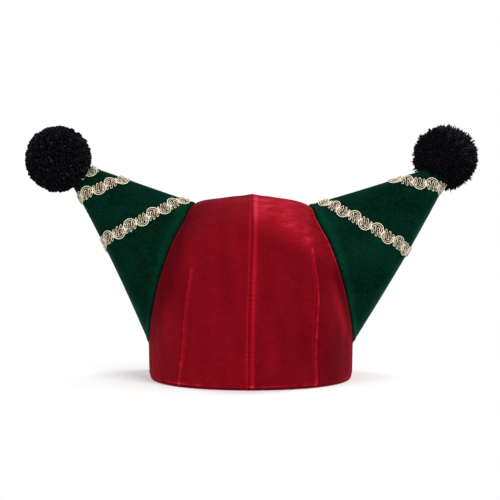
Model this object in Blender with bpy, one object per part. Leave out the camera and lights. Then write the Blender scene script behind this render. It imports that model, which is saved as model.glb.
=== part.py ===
"""A jester hat: a red velvet crown of four panels, two hollow green velvet horns, gold braid wound
round each horn and a black pompom on each tip.

Metres, +Z up. The hem stands on z = 0, centred on the origin, and the front of the hat faces -Y.
The wearer's right is at -X, which the names call left, as one sees it from the front.
"""

import math
from collections import namedtuple

import bmesh
import bpy
import numpy as np

MM = 0.001

# Crown
HEM_HALF_WIDTH = 89.5 * MM
HEM_HALF_DEPTH = 103.0 * MM
CROWN_HEIGHT = 162.0 * MM
CROWN_ROUNDNESS = 2.1  # exponent of the crown's plan: 2 is an ellipse, more is squarer
VELVET_WALL = 2.2 * MM
SEAM_GAP = 0.3 * MM

# Relief on the crown: the seam allowances that show beside the middle seam, the darts and the hem
SEAM_LIP_WIDTH = 3.2 * MM
SEAM_LIP_HEIGHT = 0.7 * MM
DART_WIDTH = 3.0 * MM
DART_HEIGHT = 1.0 * MM
HEM_FOLD_HEIGHT = 4.0 * MM
HEM_FOLD_BULGE = 0.6 * MM

# Horns: the point where a horn's edges would meet, out from the hem's side and up from the peak
HORN_BASE_SPREAD = math.radians(24.0)  # how far round the crown a horn's base reaches, each way
HORN_SWELL = 4.0 * MM
HORN_BLUNT = 10.0 * MM  # the length by which the skins stop short of that point
LEFT_HORN_OUT = 82.5 * MM
LEFT_HORN_UP = 35.0 * MM
RIGHT_HORN_OUT = 93.5 * MM
RIGHT_HORN_UP = 31.5 * MM

# Braid
BRAID_WIDTH = 10.6 * MM
BRAID_THICKNESS = 1.5 * MM
BRAID_SCALLOP = 1.3 * MM
BRAID_REPEAT = 18.7 * MM
BRAID_GAP = 0.35 * MM
BRAID_SEAM_CLEARANCE = 1.5 * MM

# Pompoms: the middle of each, in from its horn's point, down from it, and back from it
POMPOM_RADIUS = 29.5 * MM
POMPOM_LOCK_LENGTH = 4.5 * MM
POMPOM_SOCKET_GAP = 0.4 * MM
LEFT_POMPOM_IN = 1.5 * MM
LEFT_POMPOM_DOWN = 3.5 * MM
LEFT_POMPOM_BACK = -8.0 * MM
RIGHT_POMPOM_IN = 12.5 * MM
RIGHT_POMPOM_DOWN = 0.5 * MM
RIGHT_POMPOM_BACK = 9.0 * MM

# Mesh steps
HORN_BASE_STEPS = 12
HORN_LENGTH_STEPS = 7
CROWN_FOOT_STEPS = 3
CROWN_TOP_STEPS = 4
PANEL_STEPS = 4
BRAID_STEPS_PER_LOBE = 6

# The crown's level sections, from the hem to the peak, as shares of its height and of the hem's
# half width and half depth. The horns' bases run between two of these levels.
Section = namedtuple("Section", "height width depth")
CROWN_SECTIONS = [
    Section(0.000, 0.978, 0.985),
    Section(0.045, 0.993, 0.995),
    Section(0.185, 1.000, 1.000),
    Section(0.330, 0.996, 0.985),
    Section(0.480, 0.970, 0.940),
    Section(0.630, 0.900, 0.860),
    Section(0.770, 0.782, 0.720),
    Section(0.875, 0.660, 0.530),
    Section(0.948, 0.587, 0.305),
    Section(0.976, 0.310, 0.185),
    Section(1.000, 0.000, 0.000),
]
HORN_FOOT_LEVEL = 0.20  # of the rows above, where the underside of a horn meets the crown
HORN_HEAD_LEVEL = 0.80  # where its top seam meets the crown, at the end of the ridge

# The two halves of the hat differ a little, as hand-sewn ones do. side is the sign of x, horn the
# point where the horn's edges would meet and pompom its middle, both with x as on the left half.
# The dart's foot and head are shares of the panel's width, its rise a share of the crown's rows.
Half = namedtuple("Half", "name side horn pompom dart_foot dart_head dart_rise")


def make_half(name, side, out, up, inward, down, back, *dart):
    horn = np.array([-HEM_HALF_WIDTH - out, 0.0, CROWN_HEIGHT + up])
    return Half(name, side, horn, horn + np.array([inward, back, -down]), *dart)


HALVES = [
    make_half("left", -1, LEFT_HORN_OUT, LEFT_HORN_UP, LEFT_POMPOM_IN, LEFT_POMPOM_DOWN,
              LEFT_POMPOM_BACK, 0.48, 0.55, 0.49),
    make_half("right", 1, RIGHT_HORN_OUT, RIGHT_HORN_UP, RIGHT_POMPOM_IN, RIGHT_POMPOM_DOWN,
              RIGHT_POMPOM_BACK, 0.41, 0.60, 0.57),
]

# Where the braid crosses a horn's two seams, counted in half turns from its first crossing of the
# top seam. The front comes after each even crossing. left and right give the distance from the
# tip, as a share of that seam's length on that half.
Crossing = namedtuple("Crossing", "half_turn left right")
BRAID_CROSSINGS = [
    Crossing(-1, 1.200, 1.200),
    Crossing(0, 0.960, 0.945),
    Crossing(1, 0.487, 0.505),
    Crossing(2, 0.548, 0.470),
    Crossing(3, 0.252, 0.185),
    Crossing(4, 0.325, 0.190),
    Crossing(5, 0.187, 0.130),
]
BRAID_ROUTE_STEPS = 40  # steps of the route worked out in each half turn

# The two faces of the hat, with the sign of y there
FACES = {"front": -1, "back": 1}


def smooth_rows(rows, t):
    """Values at t (0 to 1) on a smooth curve through evenly spaced rows (Catmull-Rom)."""
    rows = np.asarray(rows, float)
    last = len(rows) - 1
    place = np.clip(np.asarray(t, float), 0.0, 1.0) * last
    i = np.minimum(place.astype(int), last - 1)
    f = (place - i)[..., None]
    p0, p1, p2, p3 = (rows[np.clip(i + k, 0, last)] for k in (-1, 0, 1, 2))
    m1 = (p2 - p0) / 2
    m2 = (p3 - p1) / 2
    return (
        p1 * (1 + 2 * f) * (1 - f) ** 2
        + m1 * f * (1 - f) ** 2
        + p2 * (3 - 2 * f) * f**2
        - m2 * (1 - f) * f**2
    )


def crown_point(turn, level, inset=0.0):
    """A point of the crown's front left quarter. turn is the angle round from the front middle,
    level the place among the sections, and inset how deep the point lies under the surface."""
    turn, level, inset = np.broadcast_arrays(turn, level, inset)
    share = smooth_rows(CROWN_SECTIONS, level)
    power = 2 / CROWN_ROUNDNESS
    x = -HEM_HALF_WIDTH * share[..., 1] * np.abs(np.sin(turn)) ** power
    y = -HEM_HALF_DEPTH * share[..., 2] * np.abs(np.cos(turn)) ** power
    z = CROWN_HEIGHT * share[..., 0]
    sizes = np.array([HEM_HALF_WIDTH, HEM_HALF_DEPTH, CROWN_HEIGHT])
    return np.stack([x, y, z], axis=-1) * (1 - inset[..., None] / sizes)


def horn_base(around):
    """The turn and level on the crown where a horn's base lies, for an angle round the horn:
    0 at its top seam and pi at its lower seam."""
    level = HORN_FOOT_LEVEL + (HORN_HEAD_LEVEL - HORN_FOOT_LEVEL) * (1 + np.cos(around)) / 2
    turn = math.pi / 2 - HORN_BASE_SPREAD * np.abs(np.sin(around))
    return turn, level


def horn_edge_length(half, around):
    """The straight distance from the horn's base to its tip at an angle round the horn."""
    turn, level = horn_base(around)
    return np.linalg.norm(half.horn - crown_point(turn, level), axis=-1)


def horn_point(half, around, along):
    """A point of the horn's skin, with x as on the left half. The front is at angles whose sine
    is positive. along runs from 0 at the base to 1 at the tip."""
    around, along = np.broadcast_arrays(around, along)
    turn, level = horn_base(around)
    base = crown_point(turn, level)
    front = np.sign(np.sin(around))
    base[..., 1] *= np.where(front < 0, -1, 1)
    point = base + (half.horn - base) * along[..., None]
    point[..., 1] -= HORN_SWELL * np.sin(around) * np.sin(math.pi * along)
    return point


def horn_normal(half, around, along):
    """The outward unit normal of the horn's skin, from its two directions."""
    step = 1e-4
    across = horn_point(half, around + step, along) - horn_point(half, around - step, along)
    down = horn_point(half, around, along + step) - horn_point(half, around, along - step)
    normal = np.cross(down, across)
    return normal / np.linalg.norm(normal, axis=-1, keepdims=True)


def material(name, colour, roughness):
    made = bpy.data.materials.new(name)
    made.use_nodes = True
    shader = made.node_tree.nodes["Principled BSDF"]
    shader.inputs["Base Color"].default_value = (*colour, 1.0)
    shader.inputs["Roughness"].default_value = roughness
    shader.inputs["Metallic"].default_value = 0.0
    made.diffuse_color = (*colour, 1.0)
    return made


def add_object(name, bm, finish):
    """Makes a named object of a bmesh, with its seams welded and its faces pointing out."""
    bmesh.ops.remove_doubles(bm, verts=bm.verts, dist=1e-6)
    bmesh.ops.recalc_face_normals(bm, faces=bm.faces)
    mesh = bpy.data.meshes.new(name)
    bm.to_mesh(mesh)
    bm.free()
    mesh.materials.append(finish)
    mesh.shade_smooth()
    mesh.set_sharp_from_angle(angle=math.radians(35))
    made = bpy.data.objects.new(name, mesh)
    HAT.objects.link(made)
    return made


def wall_between(outer, inner):
    """A closed wall between two grids of points, with its four rims."""
    bm = bmesh.new()
    rows, columns = outer.shape[:2]
    sheets = [
        [[bm.verts.new(point) for point in row] for row in sheet] for sheet in (outer, inner)
    ]
    for sheet in sheets:
        for i in range(rows - 1):
            for j in range(columns - 1):
                bm.faces.new((sheet[i][j], sheet[i][j + 1], sheet[i + 1][j + 1], sheet[i + 1][j]))
    border = [(0, j) for j in range(columns)]
    border += [(i, columns - 1) for i in range(1, rows)]
    border += [(rows - 1, j) for j in range(columns - 2, -1, -1)]
    border += [(i, 0) for i in range(rows - 2, 0, -1)]
    for (i, j), (k, m) in zip(border, border[1:] + border[:1]):
        bm.faces.new((sheets[0][i][j], sheets[0][k][m], sheets[1][k][m], sheets[1][i][j]))
    return bm


def set_apart(points, side, face):
    """Takes points of the front left quarter to their own quarter of the hat, and keeps them half
    a seam's gap off the hat's two middle planes."""
    half_gap = SEAM_GAP / 2
    points = points.copy()
    points[..., 0] = np.minimum(points[..., 0], -half_gap)
    points[..., 1] = np.minimum(points[..., 1], -half_gap)
    points[..., 0] *= -side
    points[..., 1] *= -face
    return points


def crown_rows():
    """The levels of the crown panels' rows, and how far round each row may go: to the side seam,
    or to the horn's base less half a seam's gap."""
    around = np.linspace(math.pi, 0.0, HORN_BASE_STEPS + 1)
    turn, level = horn_base(around)
    fold = HEM_FOLD_HEIGHT / CROWN_HEIGHT
    heights = [section.height for section in CROWN_SECTIONS]
    fold_level = np.interp(fold, heights, np.linspace(0.0, 1.0, len(heights)))
    foot = np.concatenate([[0.0, fold_level / 2, fold_level],
                           np.linspace(fold_level, HORN_FOOT_LEVEL, CROWN_FOOT_STEPS)[1:-1]])
    top = np.linspace(HORN_HEAD_LEVEL, 1.0, CROWN_TOP_STEPS + 1)[1:]
    levels = np.concatenate([foot, level, top])
    gap_turn = SEAM_GAP / 2 / HEM_HALF_DEPTH
    sides = [np.full(len(foot), math.pi / 2), turn - gap_turn * np.sin(around) ** 0.5,
             np.full(len(top), math.pi / 2)]
    return levels, np.concatenate(sides)


def crown_panel(half, face, finish):
    """One quarter of the crown, with the raised seam allowance at the middle, a dart and the
    hem's fold."""
    levels, limits = crown_rows()
    share = smooth_rows(CROWN_SECTIONS, levels)
    arc = limits * (HEM_HALF_WIDTH * share[:, 1] + HEM_HALF_DEPTH * share[:, 2]) / 2
    lip = np.minimum(SEAM_LIP_WIDTH / np.maximum(arc, 1e-6), 0.2)
    rise = np.clip(levels / half.dart_rise, 0.0, 1.0)
    dart = half.dart_foot + (half.dart_head - half.dart_foot) * rise
    dart_edge = np.minimum(DART_WIDTH / 2 / np.maximum(arc, 1e-6), 0.1)
    columns = [np.zeros_like(levels), lip, lip * 1.15]
    columns += [lip * 1.15 + (dart - dart_edge - lip * 1.15) * k / PANEL_STEPS
                for k in range(1, PANEL_STEPS + 1)]
    ridge_column = len(columns)
    columns += [dart, dart + dart_edge]
    columns += [dart + dart_edge + (1 - dart - dart_edge) * k / PANEL_STEPS
                for k in range(1, PANEL_STEPS + 1)]
    shares = np.stack(columns, axis=1)
    raised = np.zeros_like(shares)
    fade = np.clip((1.0 - levels) * 12, 0.0, 1.0)
    raised[:, 0] = raised[:, 1] = SEAM_LIP_HEIGHT * fade
    raised[:, ridge_column] = DART_HEIGHT * np.clip((1 - rise) * 4, 0.0, 1.0)
    raised[1] += HEM_FOLD_BULGE
    turns = shares * limits[:, None]
    outer = crown_point(turns, levels[:, None], -raised)
    inner = crown_point(turns, levels[:, None], VELVET_WALL)
    sides = (half.side, FACES[face])
    bm = wall_between(set_apart(outer, *sides), set_apart(inner, *sides))
    return add_object(f"crown_{face}_{half.name}", bm, finish)


def horn_panel(half, face, finish):
    """The front or back skin of a horn, from the crown's edge to the blunt tip."""
    around = np.linspace(0.0, math.pi, HORN_BASE_STEPS + 1)
    lengths = horn_edge_length(half, around)
    start = SEAM_GAP / 2 / lengths
    end = 1 - HORN_BLUNT / lengths
    steps = np.linspace(0.0, 1.0, HORN_LENGTH_STEPS + 1)[:, None]
    along = start + (end - start) * steps
    outer = horn_point(half, around[None, :], along)

    turn, level = horn_base(around)
    seam_depth = crown_point(turn, level, VELVET_WALL) - crown_point(turn, level)
    top, foot = outer[:, :1], outer[:, -1:]
    upward = (top - foot) / np.linalg.norm(top - foot, axis=-1, keepdims=True)
    skin_depth = -upward * np.cos(around)[None, :, None] * VELVET_WALL
    skin_depth[..., 1] += VELVET_WALL * np.sin(around)
    mix = np.clip(steps * 5, 0.0, 1.0)[..., None]
    inner = outer + seam_depth[None] * (1 - mix) + skin_depth * mix
    sides = (half.side, FACES[face])
    bm = wall_between(set_apart(outer, *sides), set_apart(inner, *sides))
    return add_object(f"horn_{half.name}_{face}", bm, finish)


def cross_from_front(a, b):
    """The cross product of two directions as they look from the front, where only x and z show."""
    return a[..., 0] * b[..., 2] - a[..., 2] * b[..., 0]


def braid_route(half):
    """The braid's angle round the horn and its share of the way from the tip to the base, in small
    even steps, and the length run. Between two crossings it lies straight as seen from the front:
    there the line through both crossings meets each straight line of the horn. It stops where its
    edge would reach the pompom."""
    turns = np.array([row.half_turn for row in BRAID_CROSSINGS])
    shares = np.array([getattr(row, half.name) for row in BRAID_CROSSINGS])
    crossings = horn_point(half, turns * math.pi, 1 - shares)
    place = np.linspace(0.0, len(turns) - 1, BRAID_ROUTE_STEPS * (len(turns) - 1) + 1)
    step = np.minimum(place.astype(int), len(turns) - 2)
    around = (turns[0] + place) * math.pi
    stretch = crossings[step + 1] - crossings[step]
    reach = horn_point(half, around, 0.0) - half.horn
    share = cross_from_front(crossings[step] - half.horn, stretch)
    share = share / cross_from_front(reach, stretch)
    points = horn_point(half, around, 1 - share)
    clear = POMPOM_RADIUS + POMPOM_SOCKET_GAP + BRAID_WIDTH / 2 + BRAID_SCALLOP
    outside = np.linalg.norm(points - half.pompom, axis=1) > clear
    stop = len(outside) if outside.all() else int(np.argmin(outside))
    around, share, points = around[:stop], share[:stop], points[:stop]
    run = np.concatenate([[0.0], np.cumsum(np.linalg.norm(np.diff(points, axis=0), axis=1))])
    count = int(round(run[-1] / BRAID_REPEAT * 2 * BRAID_STEPS_PER_LOBE))
    even = np.linspace(0.0, run[-1], count + 1)
    return np.interp(even, run, around), np.interp(even, run, share), even


def braid(half, finish):
    """The braid as one scalloped band on the horn's skin. Each cross-section lies along a straight
    line of the horn, so the band wraps its round edges without cutting them."""
    around, share, run = braid_route(half)
    length = horn_edge_length(half, around)
    middle = horn_point(half, around, 1 - share)
    path = np.gradient(middle, axis=0)
    path /= np.linalg.norm(path, axis=1, keepdims=True)
    line = half.horn - horn_point(half, around, 0.0)
    line /= np.linalg.norm(line, axis=1, keepdims=True)
    slant = np.linalg.norm(np.cross(path, line), axis=1)
    phase = run / BRAID_REPEAT * math.pi
    edges = []
    for side, lag in ((1, 0.0), (-1, math.pi / 2)):
        bulge = BRAID_SCALLOP * np.abs(np.sin(phase + lag))
        reach = share * length + side * (BRAID_WIDTH / 2 - BRAID_SCALLOP + bulge) / slant
        edges.append(np.minimum(reach, length - BRAID_SEAM_CLEARANCE))
    kept = edges[0] - edges[1] > BRAID_WIDTH / 3
    around, length, edges = around[kept], length[kept], [edge[kept] for edge in edges]
    rings = []
    for edge, depth in ((0, 0), (0, 1), (1, 1), (1, 0)):
        along = 1 - edges[edge] / length
        lift = BRAID_GAP + depth * BRAID_THICKNESS
        rings.append(horn_point(half, around, along) + lift * horn_normal(half, around, along))
    rings = np.stack(rings, axis=1)
    rings[..., 0] *= -half.side
    bm = bmesh.new()
    sections = [[bm.verts.new(point) for point in ring] for ring in rings]
    for near, far in zip(sections, sections[1:]):
        for k in range(4):
            bm.faces.new((near[k], near[(k + 1) % 4], far[(k + 1) % 4], far[k]))
    bm.faces.new(sections[0])
    bm.faces.new(sections[-1])
    return add_object(f"braid_{half.name}", bm, finish)


def horn_tip_cutter(half):
    """A solid of the horn's tip with the pompom's socket gap all round, for cutting the socket."""
    around = np.linspace(0.0, 2 * math.pi, 25)[:-1]
    lengths = horn_edge_length(half, around)
    reach = 2.2 * POMPOM_RADIUS
    rings = []
    for share in np.linspace(1.0, 0.0, 7):
        distance = HORN_BLUNT + (reach - HORN_BLUNT) * share
        along = 1 - distance / lengths
        ring = horn_point(half, around, along)
        rings.append(ring + POMPOM_SOCKET_GAP * horn_normal(half, around, along))
    towards_tip = rings[-1].mean(axis=0) - rings[-2].mean(axis=0)
    rings.append(rings[-1] + POMPOM_SOCKET_GAP * towards_tip / np.linalg.norm(towards_tip))
    rings = np.stack(rings)
    rings[..., 0] *= -half.side
    bm = bmesh.new()
    loops = [[bm.verts.new(point) for point in ring] for ring in rings]
    for near, far in zip(loops, loops[1:]):
        for k in range(len(near)):
            n = (k + 1) % len(near)
            bm.faces.new((near[k], near[n], far[n], far[k]))
    bm.faces.new(loops[0])
    bm.faces.new(loops[-1])
    bmesh.ops.recalc_face_normals(bm, faces=bm.faces)
    mesh = bpy.data.meshes.new("socket_cutter")
    bm.to_mesh(mesh)
    bm.free()
    cutter = bpy.data.objects.new(f"socket_cutter_{half.name}", mesh)
    CUTTERS.objects.link(cutter)
    cutter.hide_render = True
    cutter.display_type = "WIRE"
    return cutter


def pompom(half, finish):
    """A ball of locks: every face of a fine ball is drawn out to a point, and the horn's tip has a
    socket of its own shape."""
    bm = bmesh.new()
    bmesh.ops.create_icosphere(bm, subdivisions=3, radius=POMPOM_RADIUS - POMPOM_LOCK_LENGTH)
    tips = bmesh.ops.poke(bm, faces=bm.faces)["verts"]
    for vert in tips:
        vert.co *= POMPOM_RADIUS / vert.co.length
    made = add_object(f"pompom_{half.name}", bm, finish)
    made.location = half.pompom * (-half.side, 1, 1)
    socket = made.modifiers.new("socket", "BOOLEAN")
    socket.operation = "DIFFERENCE"
    socket.solver = "EXACT"
    socket.object = horn_tip_cutter(half)
    return made


def main():
    red = material("red_velvet", (0.23, 0.006, 0.014), 0.85)
    green = material("green_velvet", (0.002, 0.022, 0.013), 0.85)
    gold = material("gold_braid", (0.62, 0.48, 0.27), 0.45)
    black = material("black_yarn", (0.006, 0.006, 0.008), 0.9)
    for half in HALVES:
        for face in FACES:
            crown_panel(half, face, red)
            horn_panel(half, face, green)
        braid(half, gold)
        pompom(half, black)


for old in list(bpy.data.objects):
    bpy.data.objects.remove(old)
HAT = bpy.data.collections.new("jester_hat")
CUTTERS = bpy.data.collections.new("cutters")
bpy.context.scene.collection.children.link(HAT)
bpy.context.scene.collection.children.link(CUTTERS)
main()
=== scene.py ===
# %% [markdown]
# # A jester hat
#
# The hat is sewn from velvet: four red panels make the crown, and two green skins make each horn.
# A spiral of gold scroll braid and a black yarn pompom finish each horn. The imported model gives
# the true size and place of every piece. This script gives each piece its fine surface: the
# rolled seams, the darts, every strand of the braid and every tuft of yarn.

# %% Load the frame
import math
from collections import namedtuple

import bmesh
import bpy
import numpy as np
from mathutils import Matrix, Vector


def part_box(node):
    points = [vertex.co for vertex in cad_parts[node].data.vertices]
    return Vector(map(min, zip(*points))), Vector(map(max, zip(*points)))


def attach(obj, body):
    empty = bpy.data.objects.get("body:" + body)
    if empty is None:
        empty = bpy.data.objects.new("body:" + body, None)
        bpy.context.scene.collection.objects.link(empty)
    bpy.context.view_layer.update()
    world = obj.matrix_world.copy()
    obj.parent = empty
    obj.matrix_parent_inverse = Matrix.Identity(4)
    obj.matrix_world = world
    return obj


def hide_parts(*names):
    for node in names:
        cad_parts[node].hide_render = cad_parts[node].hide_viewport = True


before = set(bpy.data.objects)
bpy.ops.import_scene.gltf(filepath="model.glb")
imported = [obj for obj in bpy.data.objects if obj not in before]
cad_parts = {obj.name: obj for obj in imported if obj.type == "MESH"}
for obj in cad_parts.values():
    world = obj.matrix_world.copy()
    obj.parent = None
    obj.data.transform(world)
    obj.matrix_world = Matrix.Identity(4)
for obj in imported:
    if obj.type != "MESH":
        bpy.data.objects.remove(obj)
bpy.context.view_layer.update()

MM = 0.001

# %% [markdown]
# ## The camera and the light
#
# The photograph was taken from the front with a long lens, a little above the hem. A long lens
# keeps both pompoms the same size. A studio could light the hat with one lamp, but black yarn and
# dark velvet would drown in their own shadow. So one large soft lamp stands high on the right, as
# the brighter right-hand panel shows, a weaker one fills from the left, and two narrow ones behind
# catch the pile along the edges. The floor fades into the white of the room.

# %% Camera
CAMERA_DISTANCE = 1.5
CAMERA_HEIGHT = 0.17
CAMERA_SIDE = -0.7 * MM
CAMERA_TILT = math.radians(2.2)
FRAME_WIDTH_THERE = 0.441  # how much of the hat's plane the picture's width takes in

camera_data = bpy.data.cameras.new("camera")
camera_data.sensor_width = 36.0
camera_data.lens = camera_data.sensor_width * CAMERA_DISTANCE / FRAME_WIDTH_THERE
camera = bpy.data.objects.new("camera", camera_data)
camera.location = (CAMERA_SIDE, -CAMERA_DISTANCE, CAMERA_HEIGHT)
camera.rotation_euler = (math.pi / 2 - CAMERA_TILT, 0.0, 0.0)
bpy.context.scene.collection.objects.link(camera)
bpy.context.scene.camera = camera
bpy.context.scene.view_settings.view_transform = "Standard"
print("lens", round(camera_data.lens, 1), "mm")

# %% Lamps
LAMP_AIM = Vector((0.0, 0.0, 0.1))


def add_lamp(name, place, size, power):
    """A square lamp at a place, turned to face the hat."""
    data = bpy.data.lights.new(name, "AREA")
    data.size = size
    data.energy = power
    lamp = bpy.data.objects.new(name, data)
    lamp.location = place
    away = lamp.location - LAMP_AIM
    lamp.rotation_euler = away.to_track_quat("Z", "Y").to_euler()
    bpy.context.scene.collection.objects.link(lamp)


add_lamp("key_lamp", (0.75, -1.25, 1.05), 0.8, 17.0)
add_lamp("fill_lamp", (-1.2, -1.3, 0.75), 1.2, 11.0)
add_lamp("left_edge_lamp", (-1.0, 0.9, 0.9), 0.5, 9.0)
add_lamp("right_edge_lamp", (1.1, 0.8, 0.8), 0.5, 12.0)
print(len(bpy.data.lights), "lamps, aimed", round(LAMP_AIM.z, 2), "m above the floor")

# %% Room and floor
ROOM_GLOW = 0.55  # how bright the white room lights the hat
FLOOR_RADIUS = 3.0
FLOOR_SIDES = 64
FLOOR_SOLID = 0.09  # the radius up to which the floor is wholly there
FLOOR_GONE = 0.27  # the radius from which only the white of the room is left
PAPER_COLOUR = (0.93, 0.93, 0.93, 1.0)


def link(tree, source, target):
    """Joins an output to an input."""
    tree.links.new(source, target)


def add_node(tree, kind, values=None, **settings):
    """A node with its settings, and with its inputs fed by a value or by another node's output."""
    node = tree.nodes.new(kind)
    for key, value in settings.items():
        setattr(node, key, value)
    for key, value in (values or {}).items():
        if isinstance(value, bpy.types.NodeSocket):
            link(tree, value, node.inputs[key])
        else:
            node.inputs[key].default_value = value
    return node


world = bpy.data.worlds.new("room")
bpy.context.scene.world = world
world.use_nodes = True
room = world.node_tree
glow = room.nodes["Background"]
seen = add_node(room, "ShaderNodeBackground", {"Color": (1, 1, 1, 1), "Strength": 1.0})
glow.inputs["Color"].default_value = (1.0, 1.0, 1.0, 1.0)
glow.inputs["Strength"].default_value = ROOM_GLOW
ray = add_node(room, "ShaderNodeLightPath")
either = add_node(room, "ShaderNodeMixShader", {0: ray.outputs["Is Camera Ray"]})
link(room, glow.outputs[0], either.inputs[1])
link(room, seen.outputs[0], either.inputs[2])
link(room, either.outputs[0], room.nodes["World Output"].inputs["Surface"])


def add_floor():
    """A round floor whose paper fades out with the distance from the hat."""
    angle = np.linspace(0.0, 2 * math.pi, FLOOR_SIDES, endpoint=False)
    ring = np.stack([np.cos(angle), np.sin(angle), np.zeros(FLOOR_SIDES)], axis=1)
    mesh = bpy.data.meshes.new("floor")
    mesh.from_pydata((ring * FLOOR_RADIUS).tolist(), [], [list(range(FLOOR_SIDES))])
    floor = bpy.data.objects.new("floor", mesh)
    bpy.context.scene.collection.objects.link(floor)
    paper = bpy.data.materials.new("floor_paper")
    paper.use_nodes = True
    tree = paper.node_tree
    place = add_node(tree, "ShaderNodeTexCoord").outputs["Object"]
    distance = add_node(tree, "ShaderNodeVectorMath", {0: place}, operation="LENGTH")
    fade = add_node(tree, "ShaderNodeMapRange", {
        "Value": distance.outputs["Value"], "From Min": FLOOR_SOLID, "From Max": FLOOR_GONE,
        "To Min": 1.0, "To Max": 0.0}, interpolation_type="SMOOTHSTEP")
    shader = tree.nodes["Principled BSDF"]
    shader.inputs["Base Color"].default_value = PAPER_COLOUR
    shader.inputs["Roughness"].default_value = 0.9
    shader.inputs["Specular IOR Level"].default_value = 0.0
    link(tree, fade.outputs["Result"], shader.inputs["Alpha"])
    mesh.materials.append(paper)


add_floor()
print("the floor fades out between", FLOOR_SOLID, "and", FLOOR_GONE, "m")

# %% [markdown]
# ## The crown's form
#
# A hat's crown could be sculpted, but a sewn one has a plain rule: level sections, each a rounded
# oval, that shrink from the hem to a low ridge. So the crown is a function of two parameters, the
# turn round the head and the level among the sections. The sections are a short table of shares
# of the hat's own height, width and depth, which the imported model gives.

# %% Sections of the crown
low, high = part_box("crown_front_left")
SEAM_LIP = 0.7 * MM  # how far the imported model's middle seam stands proud
HALF_WIDTH = -low[0]
HALF_DEPTH = -low[1] - SEAM_LIP
CROWN_HEIGHT = high[2]
ROUNDNESS = 2.1  # the exponent of the plan: 2 is an ellipse, more is squarer
FOOT_LEVEL = 0.20  # the levels between which the horn's base lies
HEAD_LEVEL = 0.80
CORNER_SPREAD = 0.075  # how many levels above and below its middle the horn's corner reaches

Half = namedtuple("Half", "name side horn_out horn_up top_sag foot_sag corner_in corner_down")
HALVES = [
    Half("left", -1, 82.5 * MM, 35.0 * MM, 0.3 * MM, 3.0 * MM, 4.6 * MM, 0.3 * MM),
    Half("right", 1, 93.5 * MM, 31.5 * MM, 1.2 * MM, -2.4 * MM, 2.6 * MM, 2.2 * MM),
]

Section = namedtuple("Section", "height width depth")
CROWN_SECTIONS = [
    Section(0.000, 0.982, 0.985),
    Section(0.045, 0.995, 0.995),
    Section(0.185, 1.000, 1.000),
    Section(0.330, 1.004, 0.985),
    Section(0.480, 0.975, 0.940),
    Section(0.630, 0.900, 0.860),
    Section(0.770, 0.782, 0.720),
    Section(0.875, 0.660, 0.530),
    Section(0.948, 0.587, 0.305),
    Section(0.973, 0.305, 0.185),
    Section(1.000, 0.000, 0.000),
]


def smooth_curve(rows, t):
    """A natural cubic spline through evenly spaced rows, read at t from 0 to 1. Each stretch is a
    cubic, and neighbouring stretches share their value, their slope and their bend."""
    rows = np.asarray(rows, float)
    last = len(rows) - 1
    system = 4 * np.eye(last + 1) + np.eye(last + 1, k=1) + np.eye(last + 1, k=-1)
    system[0] = np.eye(last + 1)[0]
    system[last] = np.eye(last + 1)[last]
    pull = np.zeros_like(rows)
    pull[1:last] = 6 * (rows[:-2] - 2 * rows[1:-1] + rows[2:])
    bend = np.linalg.solve(system, pull)
    place = np.clip(np.asarray(t, float), 0.0, 1.0) * last
    i = np.minimum(place.astype(int), last - 1)
    f = (place - i)[..., None]
    g = 1 - f
    return (g * rows[i] + f * rows[i + 1]
            + (g**3 - g) * bend[i] / 6 + (f**3 - f) * bend[i + 1] / 6)


def signed_power(value, power):
    """A power of the size of a value, with the value's own sign."""
    return np.sign(value) * np.abs(value) ** power


def crown_skin(half, turn, level):
    """One half of the crown, with x as on the left. turn goes from 0 at the front middle over the
    side to pi at the back, level from 0 at the hem to 1 at the peak. Each level is a superellipse:
    sine and cosine of the turn, raised to 2 / ROUNDNESS, times the section's half width and half
    depth. The corner where the horn's top seam starts is drawn in and down a little."""
    share = smooth_curve(CROWN_SECTIONS, level)
    x = -HALF_WIDTH * share[..., 1] * signed_power(np.sin(turn), 2 / ROUNDNESS)
    y = -HALF_DEPTH * share[..., 2] * signed_power(np.cos(turn), 2 / ROUNDNESS)
    corner = np.exp(-((level - HEAD_LEVEL) / CORNER_SPREAD) ** 2) * np.sin(turn) ** 4
    corner = corner * np.clip((1 - level) / (1 - HEAD_LEVEL), 0.0, 1.0)
    z = CROWN_HEIGHT * share[..., 0] - half.corner_down * corner
    return np.stack([x + half.corner_in * corner, y, z], axis=-1)


def out_of(surface, a, b):
    """The unit normal of a surface of two parameters: its direction along b crossed with its
    direction along a, each the difference over a short step."""
    step = 1e-4
    along_a = surface(a + step, b) - surface(a - step, b)
    along_b = surface(a, b + step) - surface(a, b - step)
    normal = np.cross(along_b, along_a)
    size = np.linalg.norm(normal, axis=-1, keepdims=True)
    return np.where(size > 1e-14, normal / np.maximum(size, 1e-14), (0.0, 0.0, 1.0))


print("crown", round(2 * HALF_WIDTH / MM), "mm wide,", round(2 * HALF_DEPTH / MM), "mm deep")

# %% [markdown]
# ## The horns' form
#
# A horn is a cone that grows out of the crown. Its base lies on the crown's own surface, so crown
# and horn share one seam line. Each point of the base is joined to the horn's point by a straight
# line, and the skin is swollen a little by the air in it. The top and the underside can sag or
# swell too, because no sewn cone keeps a straight edge.

# %% Horns
BASE_SPREAD = math.radians(24.0)  # how far round the crown a horn's base reaches, each way
HORN_SWELL = 4.0 * MM
TOP_SAG_WAY = (-0.3, -0.95)  # which way the top seam sags, in x and z
FOOT_SAG_WAY = (0.85, 0.5)


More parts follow.
